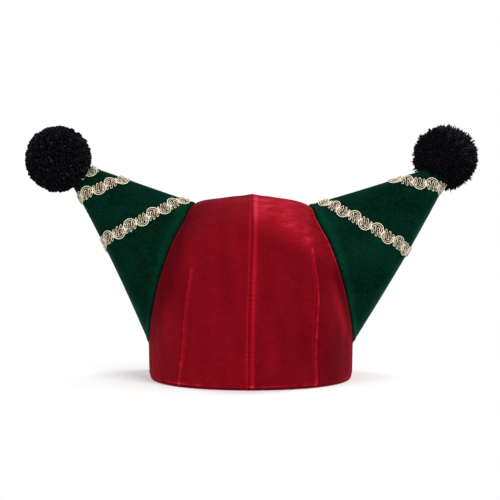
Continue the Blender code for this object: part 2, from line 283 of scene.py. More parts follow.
def horn_skin(half):
    """The horn's surface as a function of around and along, with x as on the left half. around is
    0 at the top seam, pi / 2 at the front and pi at the lower seam, and along goes from 0 at the
    base to 1 at the point. The skin is base + (point - base) * along, moved outward by the swell
    and inward at the two seams by their sag."""

    def surface(around, along):
        around, along = np.broadcast_arrays(around, along)
        tip = np.array([-HALF_WIDTH - half.horn_out, 0.0, CROWN_HEIGHT + half.horn_up])
        level = FOOT_LEVEL + (HEAD_LEVEL - FOOT_LEVEL) * (1 + np.cos(around)) / 2
        base = crown_skin(half, math.pi / 2 - BASE_SPREAD * np.sin(around), level)
        point = base + (tip - base) * along[..., None]
        arch = np.sin(math.pi * np.clip(along, 0.0, 1.0))
        point[..., 1] -= HORN_SWELL * np.sin(around) * arch
        top = np.clip(np.cos(around), 0.0, 1.0) ** 2 * half.top_sag
        foot = np.clip(-np.cos(around), 0.0, 1.0) ** 2 * half.foot_sag
        point[..., 0] += (foot * FOOT_SAG_WAY[0] + top * TOP_SAG_WAY[0]) * arch
        point[..., 2] += (foot * FOOT_SAG_WAY[1] + top * TOP_SAG_WAY[1]) * arch
        return point

    return surface


def horn_length(half, around):
    """The distance from the horn's base to its point at an angle round the horn."""
    surface = horn_skin(half)
    return np.linalg.norm(surface(around, 1.0) - surface(around, 0.0), axis=-1)


print("horn seams", [round(float(horn_length(h, 0.0)) / MM) for h in HALVES], "mm on top")

# %% [markdown]
# ## From a grid of points to a piece of cloth
#
# A panel of cloth is a closed wall: an outer skin with all the relief, a plain inner skin, and a
# narrow strip round the edge. The Solidify modifier could make the wall, but it would push the
# folds of a deep seam through each other. Here the inner skin comes from the smooth form instead,
# so the wall stays clean however sharp the outer relief is.

# %% Mesh helpers
INNER_SLOT = 1
WELD_DISTANCE = 0.0005 * MM


def new_piece(name, points, faces, materials, slots=None):
    """A smooth-shaded mesh object at the origin, made from arrays of points and of quads."""
    mesh = bpy.data.meshes.new(name)
    mesh.vertices.add(len(points))
    mesh.vertices.foreach_set("co", np.ascontiguousarray(points, np.float32).ravel())
    mesh.loops.add(faces.size)
    mesh.loops.foreach_set("vertex_index", faces.ravel().astype(np.int32))
    mesh.polygons.add(len(faces))
    starts = np.arange(0, faces.size, faces.shape[1], dtype=np.int32)
    mesh.polygons.foreach_set("loop_start", starts)
    for material in materials:
        mesh.materials.append(material)
    if slots is not None:
        mesh.polygons.foreach_set("material_index", slots.astype(np.int32))
    mesh.update(calc_edges=True)
    mesh.validate()
    mesh.shade_smooth()
    piece = bpy.data.objects.new(name, mesh)
    bpy.context.scene.collection.objects.link(piece)
    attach(piece, "root")
    return piece


def grid_faces(rows, columns):
    """The quads of a grid, as index arrays: each joins a point to its neighbours on the right, on
    the right above, and above."""
    corner = np.arange(rows * columns).reshape(rows, columns)
    return np.stack([corner[:-1, :-1], corner[:-1, 1:], corner[1:, 1:], corner[1:, :-1]],
                    axis=-1).reshape(-1, 4)


def cloth_wall(name, outer, inner, materials, flip):
    """A closed wall from two grids of points: the outer faces, the inner faces turned round, and a
    strip along the border, whose points run once round the grid."""
    rows, columns = outer.shape[:2]
    count = rows * columns
    index = np.arange(count).reshape(rows, columns)
    border = np.concatenate([index[0, :-1], index[:-1, -1], index[-1, :0:-1], index[:0:-1, 0]])
    ahead = np.roll(border, -1)
    skin = grid_faces(rows, columns)
    strip = np.stack([ahead, border, border + count, ahead + count], axis=-1)
    faces = np.concatenate([skin, skin[:, ::-1] + count, strip])
    slots = np.zeros(len(faces))
    slots[len(skin):2 * len(skin)] = INNER_SLOT
    if flip:
        faces = faces[:, ::-1]
    points = np.concatenate([outer.reshape(-1, 3), inner.reshape(-1, 3)])
    return new_piece(name, points, faces, materials, slots)


def weld(piece):
    """Joins points of a piece that lie in one place, such as a row that shrinks to a point, and
    drops the faces that this leaves without area."""
    mesh = bmesh.new()
    mesh.from_mesh(piece.data)
    bmesh.ops.remove_doubles(mesh, verts=mesh.verts, dist=WELD_DISTANCE)
    mesh.to_mesh(piece.data)
    mesh.free()


def add_attribute(piece, name, values):
    """Stores one number for each point of the outer skin; the inner skin gets the same."""
    spread = np.tile(np.asarray(values, np.float32).ravel(), 2)
    layer = piece.data.attributes.new(name, "FLOAT", "POINT")
    layer.data.foreach_set("value", spread)


# %% Bells, steps and waves
WAVES = 7


def bell(value, middle, width):
    """A smooth bump of height 1 at the middle: e to the minus square of the distance in widths."""
    return np.exp(-((value - middle) / width) ** 2)


def ease(value, low, high):
    """0 below low, 1 above high, and a smooth step between."""
    t = np.clip((value - low) / (high - low), 0.0, 1.0)
    return t * t * (3 - 2 * t)


def soft_waves(p, q, seed, size):
    """Gentle unevenness of a soft surface: the mean of a few sine waves that run in seeded
    directions over the two lengths p and q, each with its own wavelength near the given size."""
    rng = np.random.default_rng(seed)
    angles = rng.uniform(0, math.pi, WAVES)
    stretches = rng.uniform(0.7, 1.6, WAVES)
    phases = rng.uniform(0, 2 * math.pi, WAVES)
    total = np.zeros(np.broadcast(p, q).shape)
    for angle, stretch, phase in zip(angles, stretches, phases):
        run = p * math.cos(angle) + q * math.sin(angle)
        total += np.sin(2 * math.pi * run / (size * stretch) + phase)
    return total / WAVES


sample = soft_waves(np.linspace(0.0, 1.0, 500), 0.0, 1, 0.1)
print("soft waves reach", round(float(np.ptp(sample)), 2), "from trough to crest")

# %% [markdown]
# ## Velvet
#
# Velvet is a forest of fibres that stand on a woven ground. Seen from the side a fibre is bright,
# seen from its end it is nearly black, so a fold shines along its edge and stays dark in its face.
# A real hair system would cost millions of fibres. Here each point of a panel stores one number,
# its tone and painted light: painted highlights on ridges, rims and the lit panel, and painted
# shade in creases and towards the sides. The colour climbs with it from a deep tone, the painted
# shade, over a lit one to a bloom, the painted highlight. A little sheen adds the glow at grazing
# angles. A shared node group does this for both velvets: it unsettles the number with soft
# clouds, with the streaks of crushed patches where hands have pressed the pile, and with a fine
# grain that also goes into the bump.

# %% Node helpers
def new_group(name, inputs, outputs):
    """A shader node group with named sockets. Each input is (name, kind, starting value)."""
    group = bpy.data.node_groups.new(name, "ShaderNodeTree")
    for label, kind, value in inputs:
        socket = group.interface.new_socket(label, in_out="INPUT", socket_type=kind)
        socket.default_value = value
    for label, kind in outputs:
        group.interface.new_socket(label, in_out="OUTPUT", socket_type=kind)
    return group, group.nodes.new("NodeGroupInput"), group.nodes.new("NodeGroupOutput")


def math_node(tree, operation, first, second, third=None):
    """The output of a Math node that works on values or on other nodes' outputs."""
    values = {0: first, 1: second}
    if third is not None:
        values[2] = third
    return add_node(tree, "ShaderNodeMath", values, operation=operation).outputs[0]


def mix_colour(tree, factor, first, second):
    """The output of a Mix node between two colours."""
    node = add_node(tree, "ShaderNodeMix", data_type="RGBA")
    for label, value in (("Factor", factor), ("A", first), ("B", second)):
        kinds = ("VALUE",) if label == "Factor" else ("RGBA",)
        socket = next(s for s in node.inputs if s.name == label and s.type in kinds)
        if isinstance(value, bpy.types.NodeSocket):
            link(tree, value, socket)
        else:
            socket.default_value = value
    return next(s for s in node.outputs if s.type == "RGBA")


Noise = namedtuple("Noise", "scale detail")


def noise(tree, where, kind):
    """The grey of a noise texture at a place."""
    return add_node(tree, "ShaderNodeTexNoise",
                    {"Vector": where, "Scale": kind.scale, "Detail": kind.detail}).outputs["Fac"]


# %% Pile of the velvet
CLOUDS = Noise(30.0, 2.0)
STREAKS = Noise(75.0, 4.0)
FLECKS = Noise(480.0, 3.0)
GRAIN = Noise(2600.0, 2.0)
STREAK_SQUASH = 3.2  # how much flatter than wide a crushed streak is
STREAK_MIDDLE = 0.46  # the grey at which a streak neither lifts nor lowers the pile
STREAK_STRENGTH = 3.0
GRAIN_STRENGTH = 0.40


def build_pile_group():
    """Goes from the deep, shaded colour over the lit colour to the bloom, a painted highlight, as
    the tone and painted light rise from 0 to 2, unsettled by soft clouds, crushed streaks and a
    grain, and makes the normal from the same."""
    group, given, result = new_group("velvet_pile", [
        ("Deep", "NodeSocketColor", (0.2, 0.0, 0.0, 1.0)),
        ("Lit", "NodeSocketColor", (0.5, 0.0, 0.0, 1.0)),
        ("Bloom", "NodeSocketColor", (0.8, 0.1, 0.1, 1.0)),
        ("Tone and Painted Light", "NodeSocketFloat", 0.5),
        ("Crush", "NodeSocketFloat", 0.0),
        ("Cloud Strength", "NodeSocketFloat", 0.5),
        ("Fleck Strength", "NodeSocketFloat", 0.5),
    ], [("Color", "NodeSocketColor"), ("Roughness", "NodeSocketFloat"),
        ("Normal", "NodeSocketVector")])
    place = add_node(group, "ShaderNodeTexCoord").outputs["Object"]
    flat = add_node(group, "ShaderNodeMapping",
                    {"Vector": place, "Scale": (1.0, 1.0, STREAK_SQUASH)})
    cloud = noise(group, place, CLOUDS)
    streak = noise(group, flat.outputs[0], STREAKS)
    fleck = noise(group, place, FLECKS)
    grain = noise(group, place, GRAIN)
    factor = given.outputs["Tone and Painted Light"]
    for source, strength in ((cloud, given.outputs["Cloud Strength"]),
                             (fleck, given.outputs["Fleck Strength"]),
                             (grain, GRAIN_STRENGTH)):
        factor = math_node(group, "MULTIPLY_ADD", math_node(group, "SUBTRACT", source, 0.5),
                           strength, factor)
    pressed = math_node(group, "MULTIPLY", math_node(group, "SUBTRACT", streak, STREAK_MIDDLE),
                        given.outputs["Crush"])
    factor = math_node(group, "MULTIPLY_ADD", pressed, STREAK_STRENGTH, factor)
    first = add_node(group, "ShaderNodeClamp", {"Value": factor}).outputs[0]
    second = add_node(group, "ShaderNodeClamp",
                      {"Value": math_node(group, "SUBTRACT", factor, 1.0)}).outputs[0]
    colour = mix_colour(group, first, given.outputs["Deep"], given.outputs["Lit"])
    colour = mix_colour(group, second, colour, given.outputs["Bloom"])
    rough = add_node(group, "ShaderNodeMapRange", {"Value": factor, "To Min": 0.95,
                                                   "To Max": 0.75})
    dents = add_node(group, "ShaderNodeBump", {"Height": pressed, "Distance": 2.0 * MM,
                                               "Strength": 0.5})
    soft = add_node(group, "ShaderNodeBump", {"Height": fleck, "Distance": 0.5 * MM,
                                              "Strength": 0.5,
                                              "Normal": dents.outputs["Normal"]})
    fine = add_node(group, "ShaderNodeBump", {"Height": grain, "Distance": 0.20 * MM,
                                              "Strength": 0.6,
                                              "Normal": soft.outputs["Normal"]})
    link(group, colour, result.inputs["Color"])
    link(group, rough.outputs[0], result.inputs["Roughness"])
    link(group, fine.outputs["Normal"], result.inputs["Normal"])
    return group


PILE = build_pile_group()
print(PILE.name, "takes", [i.name for i in PILE.interface.items_tree if i.in_out == "INPUT"])


# %% The two velvets
def use_group(tree, group, values):
    """A node group placed in a material, with its inputs fed by values or by outputs."""
    node = tree.nodes.new("ShaderNodeGroup")
    node.node_tree = group
    for key, value in values.items():
        if isinstance(value, bpy.types.NodeSocket):
            link(tree, value, node.inputs[key])
        else:
            node.inputs[key].default_value = value
    return node


def attribute(tree, name):
    """A number that the piece stores for each of its points."""
    return add_node(tree, "ShaderNodeAttribute", attribute_name=name).outputs["Fac"]


def velvet(name, deep, lit, bloom, sheen, sheen_colour, clouds, flecks):
    """A velvet whose tone and painted light, and crushed patches, come from the piece's own
    attributes.
    """
    material = bpy.data.materials.new(name)
    material.use_nodes = True
    tree = material.node_tree
    pile = use_group(tree, PILE, {
        "Deep": (*deep, 1.0), "Lit": (*lit, 1.0), "Bloom": (*bloom, 1.0),
        "Tone and Painted Light": attribute(tree, "tone_and_painted_light"), "Crush": attribute(tree, "crush"),
        "Cloud Strength": clouds, "Fleck Strength": flecks})
    shader = tree.nodes["Principled BSDF"]
    for label, socket in (("Color", "Base Color"), ("Roughness", "Roughness"),
                          ("Normal", "Normal")):
        link(tree, pile.outputs[label], shader.inputs[socket])
    shader.inputs["Specular IOR Level"].default_value = 0.02
    shader.inputs["Sheen Weight"].default_value = sheen
    shader.inputs["Sheen Roughness"].default_value = 0.4
    shader.inputs["Sheen Tint"].default_value = (*sheen_colour, 1.0)
    return material


# deep is each velvet's painted shade, lit its colour in light, and bloom its painted highlight.
RED_VELVET = velvet("red_velvet", deep=(0.105, 0.0011, 0.0040), lit=(0.315, 0.0038, 0.0125),
                    bloom=(0.66, 0.040, 0.080), sheen=0.11, sheen_colour=(1.0, 0.08, 0.14),
                    clouds=0.45, flecks=0.5)
GREEN_VELVET = velvet("green_velvet", deep=(0.0002, 0.0070, 0.0035), lit=(0.0008, 0.030, 0.0150),
                      bloom=(0.004, 0.085, 0.050), sheen=0.08, sheen_colour=(0.04, 0.75, 0.42),
                      clouds=1.2, flecks=1.3)
print("made", RED_VELVET.name, "and", GREEN_VELVET.name)

# %% [markdown]
# ## The ground of the velvet
#
# Turned inside out, velvet shows the plain weave that holds its pile, duller and paler than the
# front. A picture of cloth could be tiled here, but two crossed waves give the over and under of
# the threads at their true size and need no picture.

# %% Woven ground
WEAVE_PER_METRE = 1600.0  # threads
SLUBS = Noise(300.0, 3.0)  # the thick places of the threads


def woven_ground(name, colour):
    """Plain weave: two waves along and across the cloth, whose product is the over and under."""
    material = bpy.data.materials.new(name)
    material.use_nodes = True
    tree = material.node_tree
    place = add_node(tree, "ShaderNodeTexCoord").outputs["Object"]
    parts = add_node(tree, "ShaderNodeSeparateXYZ", {0: place})
    turn = 2 * math.pi * WEAVE_PER_METRE / 2
    sideways = math_node(tree, "ADD", parts.outputs["X"], parts.outputs["Y"])
    warp = math_node(tree, "SINE", math_node(tree, "MULTIPLY", sideways, turn), 0.0)
    weft = math_node(tree, "SINE", math_node(tree, "MULTIPLY", parts.outputs["Z"], turn), 0.0)
    over = math_node(tree, "MULTIPLY", warp, weft)
    slub = noise(tree, place, SLUBS)
    shade = math_node(tree, "MULTIPLY_ADD", over, 0.25, slub)
    mixed = mix_colour(tree, shade, (*[c * 0.5 for c in colour], 1.0), (*colour, 1.0))
    bump = add_node(tree, "ShaderNodeBump", {"Height": shade, "Distance": 0.3 * MM,
                                             "Strength": 0.7})
    shader = tree.nodes["Principled BSDF"]
    link(tree, mixed, shader.inputs["Base Color"])
    link(tree, bump.outputs["Normal"], shader.inputs["Normal"])
    shader.inputs["Roughness"].default_value = 0.9
    shader.inputs["Specular IOR Level"].default_value = 0.2
    return material


RED_GROUND = woven_ground("red_ground", (0.16, 0.012, 0.018))
GREEN_GROUND = woven_ground("green_ground", (0.010, 0.035, 0.026))
print("a thread every", 1 / WEAVE_PER_METRE / MM, "mm")

# %% [markdown]
# ## The crown's panels
#
# Each panel is a grid whose columns run up the cloth: one follows the dart, and they lie closer at
# the seams, where the cloth rolls. The relief is added along the surface's normal as a sum of
# bells and steps, each a thing that a sewer would name: the valley of a seam, the roll beside it,
# the ridge of a dart and the dimple at its end, the turned-up hem. Sculpting would look much the
# same, but the sum can be read, and every width in it is a real one.

# %% Grid of a panel
WALL = 2.0 * MM
PANEL_COLUMNS = 46  # on each side of the dart
HEM_ROLL = 2.6 * MM  # the height over which the hem's fold turns under
HEM_ROWS = 15
BAND_ROWS = 22  # from the hem's fold up to the third section
BAND_TOP = CROWN_SECTIONS[2].height  # a share of the crown's height
BASE_ROWS = 110  # along the horn's base
TOP_ROWS = 34

Dart = namedtuple("Dart", "top turns")
DARTS = {
    "left": Dart(0.490, (0.476, 0.458, 0.427, 0.411, 0.405, 0.400, 0.378)),
    "right": Dart(0.560, (0.409, 0.409, 0.403, 0.411, 0.436, 0.455, 0.490)),
}  # the level of each dart's tip, and its turns as shares of a quarter turn, row by row
DART_TABLE_TOP = 0.6  # the level of the last turn in the table; the first is at the hem


def crowd_ends(t, amount):
    """Numbers from 0 to 1 that lie closer at both ends: t less a part of one sine wave."""
    return t - amount * np.sin(2 * math.pi * t) / (2 * math.pi)


def panel_rows():
    """Levels of the rows, and the turn where each row ends: at the side, or at the horn's seam."""
    band = np.linspace(2 * HEM_ROLL, BAND_TOP * CROWN_HEIGHT, BAND_ROWS)[1:-1]
    heights = np.concatenate([np.linspace(0.0, 2 * HEM_ROLL, HEM_ROWS), band])
    table = np.array([row.height for row in CROWN_SECTIONS]) * CROWN_HEIGHT
    foot = np.interp(heights, table, np.linspace(0.0, 1.0, len(table)))
    foot = np.minimum(foot, FOOT_LEVEL - 1e-4)
    around = np.linspace(math.pi, 0.0, BASE_ROWS)
    side = FOOT_LEVEL + (HEAD_LEVEL - FOOT_LEVEL) * (1 + np.cos(around)) / 2
    top = np.linspace(HEAD_LEVEL, 1.0, TOP_ROWS)[1:]
    levels = np.concatenate([foot, side, top])
    full = math.pi / 2
    limits = np.concatenate([np.full(len(foot), full), full - BASE_SPREAD * np.sin(around),
                             np.full(len(top), full)])
    return levels, limits


def panel_grid(dart):
    """The level and turn of every point of a panel, with one column along the dart."""
    levels, limits = panel_rows()
    turns = np.array(dart.turns)[:, None]
    at_dart = smooth_curve(turns, levels / DART_TABLE_TOP)[:, 0] * math.pi / 2
    upward = ease(levels, dart.top, 0.95)
    at_dart = (at_dart * (1 - upward) + 0.5 * limits * upward)[:, None]
    even = crowd_ends(np.linspace(0.0, 1.0, PANEL_COLUMNS + 1), 0.72)
    turn = np.concatenate([at_dart * even, at_dart + (limits[:, None] - at_dart) * even[1:]],
                          axis=1)
    return np.broadcast_to(levels[:, None], turn.shape), turn


print("a panel has", len(panel_rows()[0]), "rows of", 2 * PANEL_COLUMNS + 1, "points")

# %% Places on a panel
Place = namedtuple("Place", "level height from_middle from_side from_dart")


def run_along(points):
    """The length run over the cloth at each point of a grid, row by row from the first column."""
    step = np.linalg.norm(np.diff(points, axis=1), axis=-1)
    return np.concatenate([np.zeros((len(points), 1)), np.cumsum(step, axis=1)], axis=1)


def panel_place(points, level):
    """Where each point of a panel lies: its level, its height over the floor, and its distances
    over the cloth from the middle seam, from the side seam and from the dart."""
    run = run_along(points)
    at_dart = run[:, PANEL_COLUMNS:PANEL_COLUMNS + 1]
    return Place(level, points[..., 2], run, run[:, -1:] - run, run - at_dart)


# %% [markdown]
# ## The seams, darts and hem of a panel
#
# On the real crown the seam allowances are pressed to one side, so the middle seam shows a roll on
# the right panel and a lower one on the left. Its machine stitches pull small dents into the roll.
# A dart is a fold sewn to a point: a ridge, a shallow valley beside it, a thinner ridge where the
# fold ends inside, and a dimple with a few rays at the tip. The hem is turned under, with a line
# where the fold ends. Each of these is a function that gives the height over the smooth cloth.

# %% Relief of a panel
Seam = namedtuple("Seam", "roll_at roll_width roll_height")
MIDDLE_SEAM = {"left": Seam(1.6 * MM, 0.80 * MM, 0.45 * MM),
               "right": Seam(2.9 * MM, 1.70 * MM, 0.90 * MM)}
STITCH_STEP = 3.6 * MM  # from one pull of the seam's stitches to the next
PULLED_AT = (72 * MM, 28 * MM)  # the heights round which the pulls show
THIN_RIDGE = {"left": -2.6 * MM, "right": -4.1 * MM}  # the thin ridge's place beside the dart


def seam_relief(half, place):
    """The seams: a fine line and a roll at the middle one, a hatch of pulls on the roll, a second
    low roll above the hem, and a lip that drops into the cut edge at the side."""
    room = ease(place.from_middle[:, -1:], 4 * MM, 20 * MM)
    seam = MIDDLE_SEAM[half.name]
    hatch = np.sin(2 * math.pi * place.height / STITCH_STEP)
    hatch = hatch * (bell(place.height, PULLED_AT[0], 12 * MM)
                     + bell(place.height, PULLED_AT[1], 7 * MM))
    roll = 1 + 0.28 * hatch + 0.3 * soft_waves(place.height, 0.0, 3, 26 * MM)
    roll = seam.roll_height * roll * bell(place.from_middle, seam.roll_at, seam.roll_width)
    line = 0.25 * MM * bell(place.from_middle, 0.0, 0.45 * MM)
    second = 0.25 * MM * bell(place.from_middle, 6.5 * MM, 1.6 * MM) * (place.height < 60 * MM)
    lip = 0.70 * MM * bell(place.from_side, 1.3 * MM, 0.8 * MM)
    edge = 1.4 * MM * bell(place.from_side, 0.0, 0.55 * MM)
    return room * (roll + lip) - line + second - edge


def thin_ridge_gap(half, place, dart):
    """How far the thin ridge lies from the dart: most at half the dart's height, less at its
    foot and its tip."""
    return THIN_RIDGE[half.name] * (0.25 + 0.75 * bell(place.level, dart.top * 0.55, 0.20))


def dart_relief(half, place, dart):
    """The dart: a ridge that wanders a little, the valley and the thin ridge beside it, the dimple
    with its rays at the tip, and small gathers where the dart runs into the hem."""
    below = 1 - ease(place.level, dart.top - 0.05, dart.top)
    wander = 0.45 * MM * soft_waves(place.height, 0.0, 8 + half.side, 22 * MM)
    uneven = 1 + 0.5 * soft_waves(place.height, 0.0, 40 + half.side, 7 * MM)
    ridge = bell(place.from_dart, wander, 0.95 * MM) * 0.95 * MM * uneven
    valley = bell(place.from_dart, wander + 1.6 * MM, 0.8 * MM) * 0.45 * MM
    thin_at = thin_ridge_gap(half, place, dart) + wander
    thin = bell(place.from_dart, thin_at, 0.55 * MM) * 0.35 * MM
    up = (place.level - dart.top) * 250 * MM
    away = np.hypot(place.from_dart, up)
    angle = np.arctan2(up, place.from_dart)
    dimple = 0.7 * MM * bell(away, 0.0, 7.0 * MM)
    rays = 0.28 * MM * np.cos(7 * angle + 0.6) * bell(away, 9.0 * MM, 4.5 * MM)
    gathers = bell(place.height, 6 * MM, 7 * MM) * bell(place.from_dart, 1.0 * MM, 5.0 * MM)
    gathers = gathers * 0.40 * MM * np.sin(2 * math.pi * place.from_dart / (3.4 * MM))
    return below * (ridge - valley + thin) + dimple + rays + gathers


def hem_relief(place):
    """The hem: its fold turns under in a quarter of an ellipse, 0.9 mm deep, with a groove and a
    low ridge above it, and a faint row of stitch dimples."""
    turned = np.clip((HEM_ROLL - place.height) / HEM_ROLL, 0.0, 1.0)
    fold = 0.9 * MM * (1 - np.sqrt(np.maximum(1 - turned**2, 0.0)))
    groove = 0.35 * MM * bell(place.height, HEM_ROLL + 0.5 * MM, 0.45 * MM)
    ridge = 0.25 * MM * bell(place.height, HEM_ROLL + 2.0 * MM, 1.0 * MM)
    room = ease(place.from_middle[:, -1:], 4 * MM, 20 * MM)
    dimples = 0.12 * MM * np.sin(2 * math.pi * place.from_middle / (4.3 * MM)) * room
    dimples = dimples * bell(place.height, HEM_ROLL + 1 * MM, 3 * MM)
    return ridge - fold - groove + dimples


def cloth_waves(half, face, place):
    """Broad and fine waves of the cloth, which die out at the hem and at both seams."""
    calm = ease(place.height, 0.0, 10 * MM) * ease(place.from_middle, 1 * MM, 10 * MM)
    calm = calm * ease(place.from_side, 1 * MM, 8 * MM)
    seed = 11 + 2 * (half.side > 0) + (face == "back")
    broad = soft_waves(place.from_middle, place.height * 0.45, seed, 34 * MM)
    fine = soft_waves(place.from_middle * 0.8, place.height, seed + 50, 11 * MM)
    return calm * (0.80 * MM * broad + 0.20 * MM * fine)


def crown_relief(half, face, place, dart):
    """How far each point of a panel stands out of the smooth crown. It all fades at the peak."""
    relief = (seam_relief(half, place) + dart_relief(half, place, dart) + hem_relief(place)
              + cloth_waves(half, face, place))
    return relief * (1 - ease(place.level, 0.93, 0.985))


# %% [markdown]
# ## The painted light of a panel
#
# Velvet looks lighter where its pile leans to the light, and here that light is painted into the
# colour: painted highlights on every ridge and rolled edge and, unevenly, along the hem's fold,
# painted shade in the creases and towards the side seams, and a painted shine on the upper part
# of the right front panel, which is also crushed into streaks. The panel across from it at the
# back is made the same. These lines could be painted on a picture. As sums of the same bells that
# make the relief they lie exactly on the ridges that they belong to, at any size.

# %% Painted light of a panel
# The resting tone of the red velvet, and its painted highlights on the seam's roll, the dart and
# the side seam's lip.
REST_TONE = 0.34
REST_CRUSH = 0.07
RIDGE_HIGHLIGHT = {"left": 0.50, "right": 0.70}  # painted highlight on the roll of the middle seam
DART_HIGHLIGHT = {"left": 0.72, "right": 0.95}
EDGE_HIGHLIGHT = {"left": 0.75, "right": 1.15}  # painted highlight on the lip of the side seam
SHINE_FROM, SHINE_TO = 128 * MM, 156 * MM  # the heights between which the shine sets in


def painted_line_light(half, place, dart):
    """The painted light of the seams, the dart and the hem, each a bell across its line."""
    height, from_dart = place.height, place.from_dart
    seam = MIDDLE_SEAM[half.name]
    tone_and_painted_light = RIDGE_HIGHLIGHT[half.name] * bell(place.from_middle, seam.roll_at, seam.roll_width)
    # Painted light and shade on the pulls of the seam's stitches.
    pulls = np.sin(2 * math.pi * height / STITCH_STEP)
    pulls = pulls * (bell(height, PULLED_AT[0], 14 * MM) + bell(height, PULLED_AT[1], 8 * MM))
    tone_and_painted_light += 0.35 * pulls * bell(place.from_middle, 1.5 * MM, 1.3 * MM)
    # Painted highlights on the dart's ridge and on its thin ridge.
    uneven = 0.9 + 0.8 * soft_waves(height, 0.0, 60 + half.side, 6 * MM)
    wide = (1.6 - 0.7 * height / CROWN_HEIGHT) * MM
    lines = DART_HIGHLIGHT[half.name] * uneven * bell(from_dart, 0.3 * MM, wide)
    lines += 0.40 * bell(from_dart, thin_ridge_gap(half, place, dart), 0.7 * MM)
    tone_and_painted_light += lines * (place.level < dart.top)
    tone_and_painted_light += EDGE_HIGHLIGHT[half.name] * bell(place.from_side, 1.3 * MM, 0.8 * MM)
    # An uneven painted highlight along the hem's fold; below it a light bottom edge and painted
    # shade where the hem rolls under.
    hem_highlight = 0.50 + 0.90 * soft_waves(place.from_middle, 0.0, 70 + half.side, 9 * MM)
    tone_and_painted_light += 1.3 * hem_highlight * bell(height, HEM_ROLL + 0.6 * MM, 0.6 * MM)
    tone_and_painted_light += 0.40 * bell(height, 0.2 * MM, 0.6 * MM) - 0.35 * bell(height, 1.7 * MM, 0.7 * MM)
    return tone_and_painted_light


def painted_shine(place):
    """What the lit panel adds: the painted shine of its upper part, painted shade on its lower
    part, a painted sheen band by the side seam, a darker patch near the hem and a painted
    highlight spot over the dart. Also how far the shine has set in."""
    rise = place.height / CROWN_HEIGHT
    shine = ease(place.height + 0.45 * place.from_middle, SHINE_FROM, SHINE_TO)
    # A painted sheen band by the side seam.
    fold = 0.75 * bell(place.from_side, 19 * MM, 9 * MM) * bell(rise, 0.38, 0.18)
    darker_patch = 0.35 * bell(rise, 0.12, 0.14) * bell(place.from_dart, 32 * MM, 24 * MM)
    highlight_spot = np.hypot(place.from_dart + 5 * MM, place.height - 122 * MM)
    highlight_spot = 0.35 * bell(highlight_spot, 0.0, 9 * MM)
    return 0.66 * shine - 0.18 * (1 - rise) + fold - darker_patch + highlight_spot, shine


def crown_painted_light(half, face, place, dart):
    """The tone and painted light of each point, from 0 to about 2, and how crushed it is. Painted
    shade darkens it towards the side seams, where the crown turns away."""
    waves = soft_waves(place.from_middle, place.height * 0.2, 90 + half.side, 15 * MM)
    tone_and_painted_light = REST_TONE + 0.15 * waves + painted_line_light(half, place, dart)
    # Painted shade towards the side seams.
    tone_and_painted_light -= 0.42 * (1 - ease(place.from_side, 5 * MM, 40 * MM))
    crush = np.full(place.height.shape, REST_CRUSH)
    if (half.side > 0) == (face == "front"):
        more, shine = painted_shine(place)
        tone_and_painted_light += more
        # The crushed streaks show most where the painted shine is.
        crush += 0.40 * shine
    return tone_and_painted_light, crush


# %% Panels of the crown
SEAM_LEAN = (-1.8 * MM, 1.4 * MM)  # how far the middle seam lies to the right, at hem and top
LEAN_FROM = 20 * MM  # the height at which the lean starts to change
LEAN_REACH = 14 * MM  # how far over the cloth the lean is felt
HEM_CLEARANCE = 0.1 * MM


def keep_in_half(skin, face):
    """Keeps a skin in its own half of the hat, front or back, so that the walls of two pieces
    meet at the seam and don't cross."""
    limit = np.minimum if face == "front" else np.maximum
    skin[..., 1] = limit(skin[..., 1], 0.0)


def make_crown_panel(half, face):
    """Builds one quarter of the crown and lays its tone and painted light over it."""
    dart = DARTS[half.name]
    level, turn = panel_grid(dart)
    if face == "back":
        turn = math.pi - turn

    def surface(turn, level):
        return crown_skin(half, turn, level)

    smooth = surface(turn, level)
    normal = out_of(surface, turn, level)
    place = panel_place(smooth, level)
    outer = smooth + normal * crown_relief(half, face, place, dart)[..., None]
    inner = smooth - normal * WALL
    low, high = SEAM_LEAN
    lean = low + (high - low) * ease(place.height, LEAN_FROM, CROWN_HEIGHT)
    lean = lean * bell(place.from_middle, 0, LEAN_REACH)
    for skin in (outer, inner):
        keep_in_half(skin, face)
        skin[..., 0] = np.minimum(skin[..., 0], 0.0) * -half.side + lean
        skin[..., 2] = np.maximum(skin[..., 2], HEM_CLEARANCE)
    flip = (face == "front") == (half.side < 0)
    name = f"crown_{face}_{half.name}"
    piece = cloth_wall(f"{name}_velvet", outer, inner, [RED_VELVET, RED_GROUND], flip)
    tone_and_painted_light, crush = crown_painted_light(half, face, place, dart)
    add_attribute(piece, "tone_and_painted_light", tone_and_painted_light)
    add_attribute(piece, "crush", crush)
    weld(piece)
    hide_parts(name)
    return piece


for half in HALVES:
    for face in ("front", "back"):
        made = make_crown_panel(half, face)
        print(made.name, len(made.data.polygons), "faces")

# %% [markdown]
# ## The horns' skins
#
# The front and the back skin meet in a seam on top and a seam below. The skins could be one tube,
# but then the seams would be drawn and not made. As two walls they roll into each other, and the
# light breaks along the seam as it does on the real horn.

# %% Relief and painted light of a horn
HORN_BLUNT = 10.0 * MM  # the length by which the skins stop short of the horn's point
HORN_COLUMNS = 64
HORN_ROWS = 96
SEAM_TUCK = 2.5 * MM  # how far a horn's cut edge reaches into the crown
HORN_CRUSH = 0.12
SEAM_SHEEN = {"left": 0.35, "right": 0.55}  # the painted sheen beside the crown

HornPlace = namedtuple("HornPlace", "around from_top from_foot from_crown from_point")


def horn_place(half, smooth, around, along):
    """Where each point of a horn's skin lies: its angle round the horn, and its distances from
    the top seam, from the lower seam, from the crown and from the horn's point."""
    run = run_along(smooth)
    length = horn_length(half, around)
    return HornPlace(around, run, run[:, -1:] - run, np.maximum(along, 0.0) * length,
                     (1 - along) * length)


